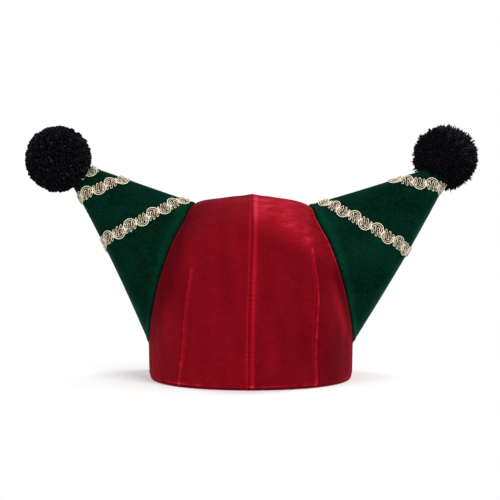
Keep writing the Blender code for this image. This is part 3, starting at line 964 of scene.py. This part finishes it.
def horn_relief(half, face, place):
    """How far the skin stands out of the smooth horn: it drops into both seams and rolls beside
    them, dips at the crown and bulges after it, waves softly, and gathers near the point."""
    relief = np.zeros(place.from_crown.shape)
    for gap in (place.from_top, place.from_foot):
        relief -= 0.7 * MM * bell(gap, 0.0, 0.5 * MM)
        relief += 0.35 * MM * bell(gap, 1.5 * MM, 0.9 * MM)
    relief -= 1.5 * MM * bell(place.from_crown, 0.0, 0.9 * MM)
    relief += 0.5 * MM * bell(place.from_crown, 3.2 * MM, 2.2 * MM)
    calm = ease(place.from_top, 1 * MM, 9 * MM) * ease(place.from_foot, 1 * MM, 9 * MM)
    calm = calm * ease(place.from_crown, 2 * MM, 12 * MM)
    seed = 31 + 2 * (half.side > 0) + (face == "back")
    relief += calm * 0.9 * MM * soft_waves(place.from_crown, place.from_top, seed, 38 * MM)
    relief += calm * 0.22 * MM * soft_waves(place.from_crown, place.from_top, seed + 50,
                                            12 * MM)
    relief += 0.35 * MM * np.sin(7 * place.around) * bell(place.from_point, 26 * MM, 10 * MM)
    return relief


def horn_painted_light(half, place):
    """The painted light of the green velvet: a painted sheen beside the crown and along both
    seams, and painted shade in the valley at the crown."""
    tone_and_painted_light = 0.38 + SEAM_SHEEN[half.name] * bell(place.from_crown, 6.0 * MM, 4.0 * MM)
    tone_and_painted_light -= 0.50 * bell(place.from_crown, 0.0, 2.0 * MM)
    tone_and_painted_light += 0.35 * bell(place.from_top, 1.2 * MM, 1.6 * MM)
    tone_and_painted_light += 0.55 * bell(place.from_foot, 2.0 * MM, 6.0 * MM)
    return tone_and_painted_light


# %% Horn skins
def make_horn_skin(half, face):
    """Builds the front or back skin of a horn as a grid of angle round the horn and distance
    along it. One more row tucks the cut edge into the crown."""
    surface = horn_skin(half)
    around = crowd_ends(np.linspace(0.0, 1.0, HORN_COLUMNS), 0.7) * math.pi
    if face == "back":
        around = -around
    end = 1 - HORN_BLUNT / horn_length(half, around)
    along = crowd_ends(np.linspace(0.0, 1.0, HORN_ROWS), 0.5)[:, None] * end
    along = np.concatenate([-SEAM_TUCK / horn_length(half, around)[None], along])
    around = np.broadcast_to(around, along.shape)
    smooth = surface(around, along)
    normal = out_of(surface, around, along)
    place = horn_place(half, smooth, around, along)
    outer = smooth + normal * horn_relief(half, face, place)[..., None]
    inner = smooth - normal * WALL
    for skin in (outer, inner):
        keep_in_half(skin, face)
        skin[..., 0] *= -half.side
    flip = (face == "front") == (half.side < 0)
    name = f"horn_{half.name}_{face}"
    piece = cloth_wall(f"{name}_velvet", outer, inner, [GREEN_VELVET, GREEN_GROUND], flip)
    add_attribute(piece, "tone_and_painted_light", horn_painted_light(half, place))
    add_attribute(piece, "crush", np.full(along.shape, HORN_CRUSH))
    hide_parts(name)
    return piece


for half in HALVES:
    for face in ("front", "back"):
        made = make_horn_skin(half, face)
        print(made.name, len(made.data.polygons), "faces")

# %% [markdown]
# ## Thread and yarn
#
# Gold braid is cotton cord wrapped in a metal foil, and pompoms are cut from plied yarn. Both show
# the same thing: a line that runs slantwise round the strand. A texture image could carry it, but
# the line is only a wave of the place along the strand plus the place round it, and every strand
# here carries both in its UV map. One node group serves gold and yarn with its own twist.

# %% Twist of a strand
FUZZ = Noise(900.0, 2.0)


def build_twist_group():
    """A wave of (length along the strand * turns + place round it * plies): its crest is a ply
    or a wrap of foil. A fine noise roughens it, and each strand's tone lightens it; on the braid
    that tone holds painted shade, and on the yarn painted highlights and glints."""
    group, given, result = new_group("strand_twist", [
        ("Dark", "NodeSocketColor", (0.3, 0.2, 0.1, 1.0)),
        ("Light", "NodeSocketColor", (0.8, 0.7, 0.5, 1.0)),
        ("Tone", "NodeSocketFloat", 0.0),
        ("Turns", "NodeSocketFloat", 900.0),
        ("Plies", "NodeSocketFloat", 2.0),
        ("Depth", "NodeSocketFloat", 0.0002),
    ], [("Color", "NodeSocketColor"), ("Normal", "NodeSocketVector")])
    lengthwise = add_node(group, "ShaderNodeSeparateXYZ", {
        0: add_node(group, "ShaderNodeUVMap", uv_map="strand").outputs["UV"]})
    along = math_node(group, "MULTIPLY", lengthwise.outputs["X"], given.outputs["Turns"])
    round_it = math_node(group, "MULTIPLY", lengthwise.outputs["Y"], given.outputs["Plies"])
    phase = math_node(group, "MULTIPLY", math_node(group, "ADD", along, round_it), 2 * math.pi)
    wave = math_node(group, "MULTIPLY_ADD", math_node(group, "SINE", phase, 0.0), 0.5, 0.5)
    place = add_node(group, "ShaderNodeTexCoord").outputs["Object"]
    fuzz = noise(group, place, FUZZ)
    crest = math_node(group, "MULTIPLY_ADD", math_node(group, "SUBTRACT", fuzz, 0.5), 0.6, wave)
    tone = math_node(group, "MULTIPLY_ADD", crest, 0.6, given.outputs["Tone"])
    tone = add_node(group, "ShaderNodeClamp", {"Value": tone}).outputs[0]
    colour = mix_colour(group, tone, given.outputs["Dark"], given.outputs["Light"])
    bump = add_node(group, "ShaderNodeBump", {"Height": crest,
                                              "Distance": given.outputs["Depth"],
                                              "Strength": 0.8})
    link(group, colour, result.inputs["Color"])
    link(group, bump.outputs["Normal"], result.inputs["Normal"])
    return group


TWIST = build_twist_group()
print(TWIST.name, "takes", [i.name for i in TWIST.interface.items_tree if i.in_out == "INPUT"])

# %% Gold and yarn
def strand_material(name, dark, light, turns, plies, depth, gloss):
    """A strand's material: the colours of its twist, the turns in a metre, the plies, the depth
    of the bump, and the values that make the shader metal or wool."""
    material = bpy.data.materials.new(name)
    material.use_nodes = True
    tree = material.node_tree
    twist = use_group(tree, TWIST, {
        "Dark": (*dark, 1.0), "Light": (*light, 1.0), "Tone": attribute(tree, "tone"),
        "Turns": turns, "Plies": plies, "Depth": depth})
    shader = tree.nodes["Principled BSDF"]
    link(tree, twist.outputs["Color"], shader.inputs["Base Color"])
    link(tree, twist.outputs["Normal"], shader.inputs["Normal"])
    for socket, value in gloss.items():
        shader.inputs[socket].default_value = value
    return material


GOLD = strand_material(
    "gold_braid", dark=(0.25, 0.120, 0.030), light=(1.0, 0.90, 0.70),
    turns=700.0, plies=1.0, depth=0.18 * MM,
    gloss={"Metallic": 0.12, "Roughness": 0.42, "Specular IOR Level": 0.6})
YARN = strand_material(
    "black_yarn", dark=(0.0016, 0.0017, 0.0027), light=(0.022, 0.0235, 0.031),
    turns=420.0, plies=2.0, depth=0.5 * MM,
    gloss={"Roughness": 0.8, "Specular IOR Level": 0.06, "Sheen Weight": 0.02,
           "Sheen Roughness": 0.4, "Sheen Tint": (0.8, 0.85, 1.0, 1.0)})
print("strands are made of", GOLD.name, "and", YARN.name)


# %% Tubes along many paths
def sides_along(paths):
    """Two directions square to each path at each of its points. The first starts at a fixed guide
    and turns as little as possible on the way, and the second stands square to it."""
    ahead = np.gradient(paths, axis=1)
    ahead /= np.maximum(np.linalg.norm(ahead, axis=-1, keepdims=True), 1e-12)
    guide = np.where(np.abs(ahead[:, :1, 2:]) < 0.9, (0.0, 0.0, 1.0), (1.0, 0.0, 0.0))
    side = np.empty_like(paths)
    last = guide[:, 0]
    for k in range(paths.shape[1]):
        last = last - ahead[:, k] * np.sum(last * ahead[:, k], axis=-1, keepdims=True)
        last = last / np.maximum(np.linalg.norm(last, axis=-1, keepdims=True), 1e-12)
        side[:, k] = last
    return side, np.cross(ahead, side)


def tube_arrays(paths, radius, sides):
    """Closed tubes along paths, an array of strands by points by 3, with a ring of the given
    radius at each point. Returns the points, the quads and the UVs: metres along and turns
    round."""
    strands, count = paths.shape[:2]
    side, up = sides_along(paths)
    angle = np.linspace(0.0, 2 * math.pi, sides + 1)
    ring = side[:, :, None] * np.cos(angle)[:, None] + up[:, :, None] * np.sin(angle)[:, None]
    radius = np.broadcast_to(radius, (strands, count))
    points = paths[:, :, None] + ring[:, :, :-1] * radius[:, :, None, None]
    index = np.arange(strands * count * sides).reshape(strands, count, sides)
    right = np.roll(index, -1, axis=2)
    faces = np.stack([index[:, :-1], right[:, :-1], right[:, 1:], index[:, 1:]], axis=-1)
    run = run_along(paths)
    u = np.stack([run[:, :-1], run[:, :-1], run[:, 1:], run[:, 1:]], axis=-1)
    u = np.broadcast_to(u[:, :, None], faces.shape)
    v = np.arange(sides) / sides
    v = np.broadcast_to(np.stack([v, v + 1 / sides, v + 1 / sides, v], axis=-1), faces.shape)
    caps = np.concatenate([cap_quads(index[:, 0, ::-1]), cap_quads(index[:, -1])])
    faces = np.concatenate([faces.reshape(-1, 4), caps])
    uv = np.stack([u, v], axis=-1).reshape(-1, 2)
    return points.reshape(-1, 3), faces, np.concatenate([uv, np.zeros((caps.size, 2))])


def cap_quads(rings):
    """Closes rings of an even number of points with quads: each joins two neighbouring edges to
    the ring's first point."""
    sides = rings.shape[1]
    quads = [np.stack([rings[:, 0], rings[:, k], rings[:, k + 1], rings[:, k + 2]], axis=-1)
             for k in range(1, sides - 2, 2)]
    return np.concatenate(quads)


def add_strand_data(piece, uv, tone):
    """Stores the UV of every corner and the tone of every point of a piece made of strands."""
    layer = piece.data.uv_layers.new(name="strand")
    layer.data.foreach_set("uv", np.ascontiguousarray(uv, np.float32).ravel())
    layer = piece.data.attributes.new("tone", "FLOAT", "POINT")
    layer.data.foreach_set("value", np.ascontiguousarray(tone, np.float32).ravel())


test_tube = tube_arrays(np.linspace((0.0, 0.0, 0.0), (0.0, 0.0, 1.0), 5)[None], 0.1, 6)
print("a tube of 5 rings of 6 has", len(test_tube[0]), "points and", len(test_tube[1]), "quads")

# %% [markdown]
# ## The gold braid
#
# Scroll braid is woven from a few cords. Two of them run side by side in a chain of round scrolls
# that swing from edge to edge. Finer cords loop across the middle, so that their bends show as
# little picots beside each scroll, and two turns of cord bind the end near the crown. One flat
# band with a bump would look flat at its edges, so every cord is a tube of its own. The pattern
# is worked out flat first, as length along the braid and place across it. Then it is laid on the
# horn: the braid's middle follows a spiral whose crossings of the two seams are read from the
# photograph, and each point walks sideways from there over the skin.

# %% Route of the braid
BRAID_LIFT = 0.5 * MM
ROUTE_STEPS = 60  # from one crossing to the next
BRAID_END_CLEAR = 3.0 * MM  # from the crown to the braid's end
BRAID_UNDER = 3.0 * MM  # how deep the braid goes into the pompom
BRAID_BOW = 0.022  # the bow in the middle of each stretch, as a share of the horn's length

Crossing = namedtuple("Crossing", "half_turn left right")
BRAID_CROSSINGS = [
    Crossing(-1, 1.200, 1.200),
    Crossing(0, 0.920, 0.905),
    Crossing(1, 0.487, 0.505),
    Crossing(2, 0.505, 0.432),
    Crossing(3, 0.252, 0.172),
    Crossing(4, 0.302, 0.190),
    Crossing(5, 0.172, 0.130),
]  # even half turns cross the top seam and odd ones the lower; shares of the horn from its point


def front_cross(a, b):
    """The cross product of two directions as they look from the front."""
    return a[..., 0] * b[..., 2] - a[..., 2] * b[..., 0]


def braid_route(half):
    """The angle round the horn and the place along it of the braid's middle, in even steps, with
    the length run. Between crossings it lies straight as seen from the front, but for a small
    bow towards the point."""
    surface = horn_skin(half)
    turns = np.array([row.half_turn for row in BRAID_CROSSINGS])
    shares = np.array([getattr(row, half.name) for row in BRAID_CROSSINGS])
    crossings = surface(turns * math.pi, 1 - shares)
    place = np.linspace(0.0, len(turns) - 1, ROUTE_STEPS * (len(turns) - 1) + 1)
    step = np.minimum(place.astype(int), len(turns) - 2)
    around = (turns[0] + place) * math.pi
    stretch = crossings[step + 1] - crossings[step]
    tip = surface(0.0, 1.0)
    reach = surface(around, 0.0) - tip
    share = front_cross(crossings[step] - tip, stretch) / front_cross(reach, stretch)
    share = share - BRAID_BOW * np.sin(math.pi * (place - step)) * (step > 0)
    begin = int(np.argmax((share < 1 - BRAID_END_CLEAR / horn_length(half, around))
                          & (place > 0.5)))
    around, share = around[begin:], share[begin:]
    points = surface(around, 1 - share)
    low, high = (np.array(c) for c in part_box(f"pompom_{half.name}"))
    middle, radius = (low + high) / 2, (high - low).max() / 2
    middle[0] = -abs(middle[0])
    inside = np.linalg.norm(points - middle, axis=1) < radius - BRAID_UNDER
    stop = int(np.argmax(inside)) if inside.any() else len(inside)
    around, share, points = around[:stop], share[:stop], points[:stop]
    return around, 1 - share, run_along(points[None])[0]


for half in HALVES:
    print("the", half.name, "braid is", round(braid_route(half)[2][-1] / MM), "mm long")

# %% Lay the braid on a horn
WALK_STEPS = 8
WALK_NEAR = 0.5 * MM  # the route's direction is taken between two points so far off on each side


def lay_on_horn(half, run_at, across, lift):
    """Takes points of the flat braid to the horn. Each starts on the braid's middle line and walks
    sideways over the skin in short steps, each step along the skin's own two directions."""
    surface = horn_skin(half)
    around, along, run = braid_route(half)
    a = np.interp(run_at, run, around)
    b = np.interp(run_at, run, along)
    a_ahead, b_ahead = (np.interp(run_at + WALK_NEAR, run, line) for line in (around, along))
    a_back, b_back = (np.interp(run_at - WALK_NEAR, run, line) for line in (around, along))
    path = surface(a_ahead, b_ahead) - surface(a_back, b_back)
    for _ in range(WALK_STEPS):
        step = 1e-4
        to_a = (surface(a + step, b) - surface(a - step, b)) / (2 * step)
        to_b = (surface(a, b + step) - surface(a, b - step)) / (2 * step)
        normal = np.cross(to_b, to_a)
        normal /= np.linalg.norm(normal, axis=-1, keepdims=True)
        side = np.cross(path, normal)
        side /= np.linalg.norm(side, axis=-1, keepdims=True)
        aa, ab, bb = (np.sum(p * q, axis=-1) for p, q in
                      ((to_a, to_a), (to_a, to_b), (to_b, to_b)))
        sa, sb = np.sum(side * to_a, axis=-1), np.sum(side * to_b, axis=-1)
        det = aa * bb - ab * ab
        a = a + across / WALK_STEPS * (sa * bb - sb * ab) / det
        b = b + across / WALK_STEPS * (sb * aa - sa * ab) / det
        path = path - normal * np.sum(path * normal, axis=-1, keepdims=True)
    point = surface(a, b) + out_of(surface, a, b) * (BRAID_LIFT + lift)[..., None]
    point[..., 0] *= -half.side
    return point


# %% Cords of the braid, laid flat
SCROLL_STEP = 11.2 * MM  # from one scroll to the next, on the other edge
SCROLL_CENTRE = 0.55 * MM  # how far a scroll's centre lies off the braid's middle
SCROLL_OPENING = math.radians(38.0)  # how far an arc goes on past half a circle, at both ends
SCROLL_POINTS = 26
Scroll = namedtuple("Scroll", "radius cord lift tone")
SCROLLS = [Scroll(5.50 * MM, 0.36 * MM, 1.00 * MM, 0.85),
           Scroll(3.90 * MM, 0.26 * MM, 0.85 * MM, 0.70)]
LOOP_POINTS = 20  # in each turn
Loop = namedtuple("Loop", "per_scroll shift centre reach loop skew cord tone")
LOOPS = [Loop(3.0, 0.4, -1.1 * MM, 3.9 * MM, 0.42 * MM, -0.40, 0.26 * MM, 0.70),
         Loop(3.0, 2.6, 0.3 * MM, 2.5 * MM, 0.30 * MM, 0.50, 0.17 * MM, 0.05)]
EndBar = namedtuple("EndBar", "half_width near far cord lift tone points")
END_BAR = EndBar(5.3 * MM, 0.4 * MM, 1.4 * MM, 0.32 * MM, 0.9 * MM, 0.5, 14)
PATTERN_START = {"left": -9.3 * MM, "right": -19.8 * MM}  # the first scroll's place on the route


def scroll_line(count, radius):
    """The flat path of a scroll cord: a chain of arcs, each most of a circle round a centre that
    lies off the middle, first on one edge and then on the other."""
    place = np.arange(count)[:, None]
    edge = np.where(place % 2 == 0, 1.0, -1.0)
    angle = np.linspace(math.pi + SCROLL_OPENING, -SCROLL_OPENING, SCROLL_POINTS)[None, :]
    along = (place + 0.5) * SCROLL_STEP + radius * np.cos(angle)
    across = edge * (SCROLL_CENTRE + radius * np.sin(angle))
    return along.ravel(), across.ravel()


def loop_line(length, kind):
    """The flat path of a fine cord: it goes along the braid and swings across it in a chain of
    leaning figures of eight, so that it crosses itself in the middle and bends round at both
    edges. The middle of the swing keeps away from the scrolls, and on the free edge the bends
    show as picots."""
    turns = length / SCROLL_STEP * kind.per_scroll
    t = np.linspace(0.0, 1.0, int(turns * LOOP_POINTS))
    swing = 2 * math.pi * turns * t + kind.shift
    edge = np.sin(math.pi * length * t / SCROLL_STEP)
    across = edge * kind.centre + kind.reach * np.cos(swing)
    along = length * t + kind.loop * np.sin(2 * swing) + kind.skew * across
    lift = 0.30 * MM + 0.28 * MM * np.sin(2 * swing + 0.7)
    return along, across, lift


def end_line():
    """The flat path of the cord that binds the end: across the braid, and back beside it."""
    there = np.linspace(-END_BAR.half_width, END_BAR.half_width, END_BAR.points)
    along = np.repeat([END_BAR.near, END_BAR.far], END_BAR.points)
    return along, np.concatenate([there, -there])


def braid_lines(half, end):
    """All cords of a braid that goes on to end: the flat path and the lift of each over the horn,
    its radius and its tone."""
    start = PATTERN_START[half.name]
    count = math.ceil((end - start) / SCROLL_STEP)
    lines = []
    for kind in SCROLLS:
        along, across = scroll_line(count, kind.radius)
        lift = np.full(along.shape, kind.lift)
        lines.append((along + start, across, lift, kind.cord, kind.tone))
    for kind in LOOPS:
        along, across, lift = loop_line(count * SCROLL_STEP, kind)
        lines.append((along + start, across, lift, kind.cord, kind.tone))
    along, across = end_line()
    lift = np.full(along.shape, END_BAR.lift)
    lines.append((along, across, lift, END_BAR.cord, END_BAR.tone))
    return lines


print("four scrolls of cord take", scroll_line(4, SCROLLS[0].radius)[0].size, "points")

# %% Build the braids
CORD_SIDES = 6
FIRST_CORD = 0.2 * MM  # nothing of the pattern is kept before this place


def make_braid(half):
    """Builds the whole braid of a horn from its scroll cords and its looping cords. A cord is
    lighter where it lies high over the horn and darker, as painted shade, where it lies low, and
    its tone wanders along the braid."""
    end = braid_route(half)[2][-1]
    points, faces, uvs, tones, first = [], [], [], [], 0
    for along, across, lift, radius, tone in braid_lines(half, end):
        there = (along > FIRST_CORD) & (along < end)
        along, across, lift = along[there], across[there], lift[there]
        path = lay_on_horn(half, along, across, lift)
        tube, quads, uv = tube_arrays(path[None], radius, CORD_SIDES)
        points.append(tube)
        faces.append(quads + first)
        uvs.append(uv)
        tone = tone + 0.6 * soft_waves(along, across * 3, 21, 9 * MM)
        # Painted shade: the lower a cord lies over the horn, the darker its tone.
        tones.append(np.repeat(tone + (lift - lift.mean()) / (0.45 * MM), CORD_SIDES))
        first += len(tube)
    piece = new_piece(f"braid_{half.name}_gold", np.concatenate(points), np.concatenate(faces),
                      [GOLD])
    add_strand_data(piece, np.concatenate(uvs), np.concatenate(tones))
    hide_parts(f"braid_{half.name}")
    print(piece.name, round(end / MM), "mm of braid,", len(piece.data.polygons), "faces")


for half in HALVES:
    make_braid(half)

# %% [markdown]
# ## The pompoms
#
# A pompom is hundreds of yarn ends tied at the middle and clipped to a ball. Particle hair could
# give them, but the exported model would lose it. So each strand is a thin tube that leaves the
# ball's heart and bends a little on its way out. The places come from the golden angle, which
# spreads them evenly over a ball. On the left pompom the yarn turns at the surface and goes back,
# so that the ball is made of short loops. The right one is looser: its ends lean together in
# tufts, a few fly away, and brighter tufts on its upper right are a painted highlight. On both, a
# few strands are made light as painted glints.

# %% Rows of the pompoms
GOLDEN_ANGLE = math.pi * (3 - math.sqrt(5))
CORE_SHARE = 0.85  # the dark core's radius, as a share of the pompom's

Pompom = namedtuple("Pompom", "count yarn sides ragged lean hairpin tufts gather flyaway flecks "
                    "seed shift")
POMPOMS = {
    "left": Pompom(count=2100, yarn=0.66 * MM, sides=6, ragged=1.1 * MM, lean=1.2 * MM,
                   hairpin=1.0 * MM, tufts=800, gather=0.0, flyaway=0.0, flecks=0.03, seed=5,
                   shift=(1.8 * MM, 0.0, -0.9 * MM)),
    "right": Pompom(count=3300, yarn=0.62 * MM, sides=4, ragged=1.9 * MM, lean=1.6 * MM,
                    hairpin=0.0, tufts=640, gather=0.55, flyaway=0.05, flecks=0.05, seed=6,
                    shift=(1.8 * MM, 0.0, 0.7 * MM)),
}


def even_directions(count):
    """Unit vectors spread evenly over a ball: heights in even steps, and a golden-angle turn from
    each to the next."""
    k = np.arange(count) + 0.5
    height = 1 - 2 * k / count
    level = np.sqrt(1 - height**2)
    turn = GOLDEN_ANGLE * k
    return np.stack([level * np.cos(turn), level * np.sin(turn), height], axis=-1)


spread = even_directions(POMPOMS["right"].tufts)
nearest = math.acos(np.sort(spread @ spread[len(spread) // 2])[-2])
print(len(spread), "tufts lie", round(math.degrees(nearest), 1), "degrees from each other")

# %% Room for the horn
HORN_STATIONS = 26


def inside_horn(half, points, room):
    """True where a point lies in the horn or closer to it than room: the distance from the horn's
    middle line is compared with the horn's half height and half depth there."""
    surface = horn_skin(half)
    along = np.linspace(0.5, 1.0, HORN_STATIONS)
    last = HORN_STATIONS - 1
    top, foot = surface(0.0, along), surface(math.pi, along)
    front = surface(math.pi / 2, along)
    middle = (top + foot) / 2
    tall = np.linalg.norm(top - foot, axis=1) / 2 + room
    deep = np.abs(front[:, 1]) + room
    upward = top - foot
    upward /= np.maximum(np.linalg.norm(upward, axis=1, keepdims=True), 1e-9)
    upward[-1] = upward[-2]
    axis = middle[-1] - middle[0]
    length = np.linalg.norm(axis)
    axis /= length
    mirrored = points * (-half.side, 1.0, 1.0)
    k = np.sum((mirrored - middle[0]) * axis, axis=-1) / length * last
    inside = (k < last) & (k > 0)
    i = np.clip(k, 0, last).astype(int)
    off = mirrored - middle[i]
    up = np.sum(off * upward[i], axis=-1) / tall[i]
    out = off[..., 1] / deep[i]
    return inside & (up**2 + out**2 < 1.0)


# %% Strands of a pompom
WAY_SPREAD = 0.035
CLIPPED_WIDTHS = np.array([0.8, 0.85, 0.95, 1.05, 1.0, 0.85, 0.40])  # from the heart to the tip
HAIRPIN_POINTS = 8


def yarn_ways(kind, rng):
    """The direction of each strand from the ball's heart, the sideways direction that it leans
    to, the direction of each tuft, and the number of the tuft that each strand belongs to."""
    way = even_directions(kind.count)
    way += rng.normal(0.0, WAY_SPREAD, way.shape)
    way /= np.linalg.norm(way, axis=-1, keepdims=True)
    bent = rng.normal(0.0, 1.0, way.shape)
    bent -= way * np.sum(bent * way, axis=-1, keepdims=True)
    bent /= np.linalg.norm(bent, axis=-1, keepdims=True)
    tufts = even_directions(kind.tufts)
    return way, bent, tufts, np.argmax(way @ tufts.T, axis=1)


def yarn_ends(kind, rng, radius, mine, upper):
    """How far from the heart each strand ends: near the ball's surface, uneven by itself and with
    its tuft, and farther out for the few that fly away. Also which ones those are."""
    end = radius - 0.9 * MM + rng.normal(0.0, kind.ragged * 0.2, kind.count)
    end = end + rng.normal(0.0, kind.ragged * 0.4, kind.tufts)[mine]
    loose = rng.random(kind.count) < kind.flyaway * (1 + 2 * upper)
    end = end + loose * rng.uniform(0.5, 1.8, kind.count) * MM
    return end, loose


def yarn_shape(kind, rng, start, end):
    """Along every strand: its place t, the distance from the heart, the lean and the radius. A
    loop goes out and comes back beside itself. A clipped end bends on its way out and thins at
    its tip."""
    if kind.hairpin:
        t = np.linspace(-1.0, 1.0, HAIRPIN_POINTS)
        reach = start + (end - start)[:, None] * (1 - t**4)
        lean = kind.hairpin * np.sin(t * math.pi / 2) * rng.uniform(0.8, 1.3, (kind.count, 1))
        return t, reach, lean, np.full(HAIRPIN_POINTS, kind.yarn)
    t = np.linspace(0.0, 1.0, len(CLIPPED_WIDTHS))
    reach = start + (end - start)[:, None] * t
    lean = kind.lean * rng.uniform(0.2, 1.2, kind.count)[:, None] * t**2
    return t, reach, lean, kind.yarn * CLIPPED_WIDTHS


def yarn_tones(kind, rng, mine, upper):
    """The tone of each strand: dark, a little uneven by itself and with its tuft, brighter in
    some of the upper tufts as a painted highlight, and light where it is a painted glint."""
    tone = rng.uniform(-0.48, -0.28, kind.count) + rng.normal(0.0, 0.10, kind.tufts)[mine]
    # Painted highlight: some of the upper tufts are brighter.
    tone = tone + kind.gather * 2.4 * upper * rng.random(kind.tufts)[mine] ** 2
    # Painted glints: a few strands are made light.
    return np.where(rng.random(kind.count) < kind.flecks, 1.0, tone)


# %% Build the pompoms
def make_pompom(half):
    """Builds one pompom from its strands, drawn together in their tufts. A strand whose outer part
    would come into the horn is left out."""
    kind = POMPOMS[half.name]
    rng = np.random.default_rng(kind.seed)
    low, high = (np.array(c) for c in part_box(f"pompom_{half.name}"))
    middle, radius = (low + high) / 2 + kind.shift, (high - low).max() / 2
    way, bent, tufts, mine = yarn_ways(kind, rng)
    upper = half.side * way[:, 0] + way[:, 2] > 0.6
    end, loose = yarn_ends(kind, rng, radius, mine, upper)
    t, reach, lean, width = yarn_shape(kind, rng, radius * CORE_SHARE * 0.85, end)
    path = middle + way[:, None] * reach[..., None] + bent[:, None] * lean[..., None]
    pull = kind.gather * t[None, :, None]**2 * radius
    path = path + (tufts[mine] - way)[:, None] * pull
    width = width * rng.uniform(0.75, 1.15, (kind.count, 1))
    width = np.where(loose[:, None], width * 0.6, width)
    outer = path[:, 3:-3] if kind.hairpin else path[:, 4:]
    kept = ~inside_horn(half, outer, 0.8 * MM).any(axis=1)
    tone = yarn_tones(kind, rng, mine, upper)
    points, faces, uv = tube_arrays(path[kept], width[kept], kind.sides)
    piece = new_piece(f"pompom_{half.name}_yarn", points, faces, [YARN])
    add_strand_data(piece, uv, np.repeat(tone[kept], len(t) * kind.sides))
    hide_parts(f"pompom_{half.name}")
    print(piece.name, int(kept.sum()), "strands,", len(faces), "faces")
    return middle, radius


CORE_ROWS, CORE_COLUMNS = 24, 48
CORE_RETREAT = 0.3  # where the core's points go that would lie in the horn
CORE_TONE = -0.35


def make_core(half, middle, radius):
    """The dark heart of a pompom: a ball of rows and columns, closed with quads round the point at
    each pole. Its points inside the horn are drawn back to the middle."""
    up = np.linspace(-math.pi / 2, math.pi / 2, CORE_ROWS + 2)[1:-1, None]
    turn = np.linspace(0.0, 2 * math.pi, CORE_COLUMNS + 1)[None, :-1]
    way = np.stack([np.cos(up) * np.cos(turn), np.cos(up) * np.sin(turn),
                    np.sin(up) * np.ones_like(turn)], axis=-1).reshape(-1, 3)
    way = np.concatenate([way, [(0.0, 0.0, -1.0), (0.0, 0.0, 1.0)]])
    ball = middle + way * radius * CORE_SHARE
    hidden = inside_horn(half, ball, 1.0 * MM)
    ball = np.where(hidden[..., None], middle + way * radius * CORE_RETREAT, ball)
    index = np.arange(CORE_ROWS * CORE_COLUMNS).reshape(CORE_ROWS, CORE_COLUMNS)
    right = np.roll(index, -1, axis=1)
    sides = np.stack([index[:-1], right[:-1], right[1:], index[1:]], axis=-1).reshape(-1, 4)
    foot = np.full(CORE_COLUMNS // 2, len(ball) - 2)
    top = np.full(CORE_COLUMNS // 2, len(ball) - 1)
    low, high = index[0], index[-1]
    foot = np.stack([foot, np.roll(low, -2)[::2], low[1::2], low[::2]], axis=-1)
    top = np.stack([top, high[::2], high[1::2], np.roll(high, -2)[::2]], axis=-1)
    piece = new_piece(f"pompom_{half.name}_core", ball, np.concatenate([sides, foot, top]),
                      [YARN])
    add_strand_data(piece, np.zeros((len(piece.data.loops), 2)),
                    np.full(len(piece.data.vertices), CORE_TONE))


for half in HALVES:
    make_core(half, *make_pompom(half))
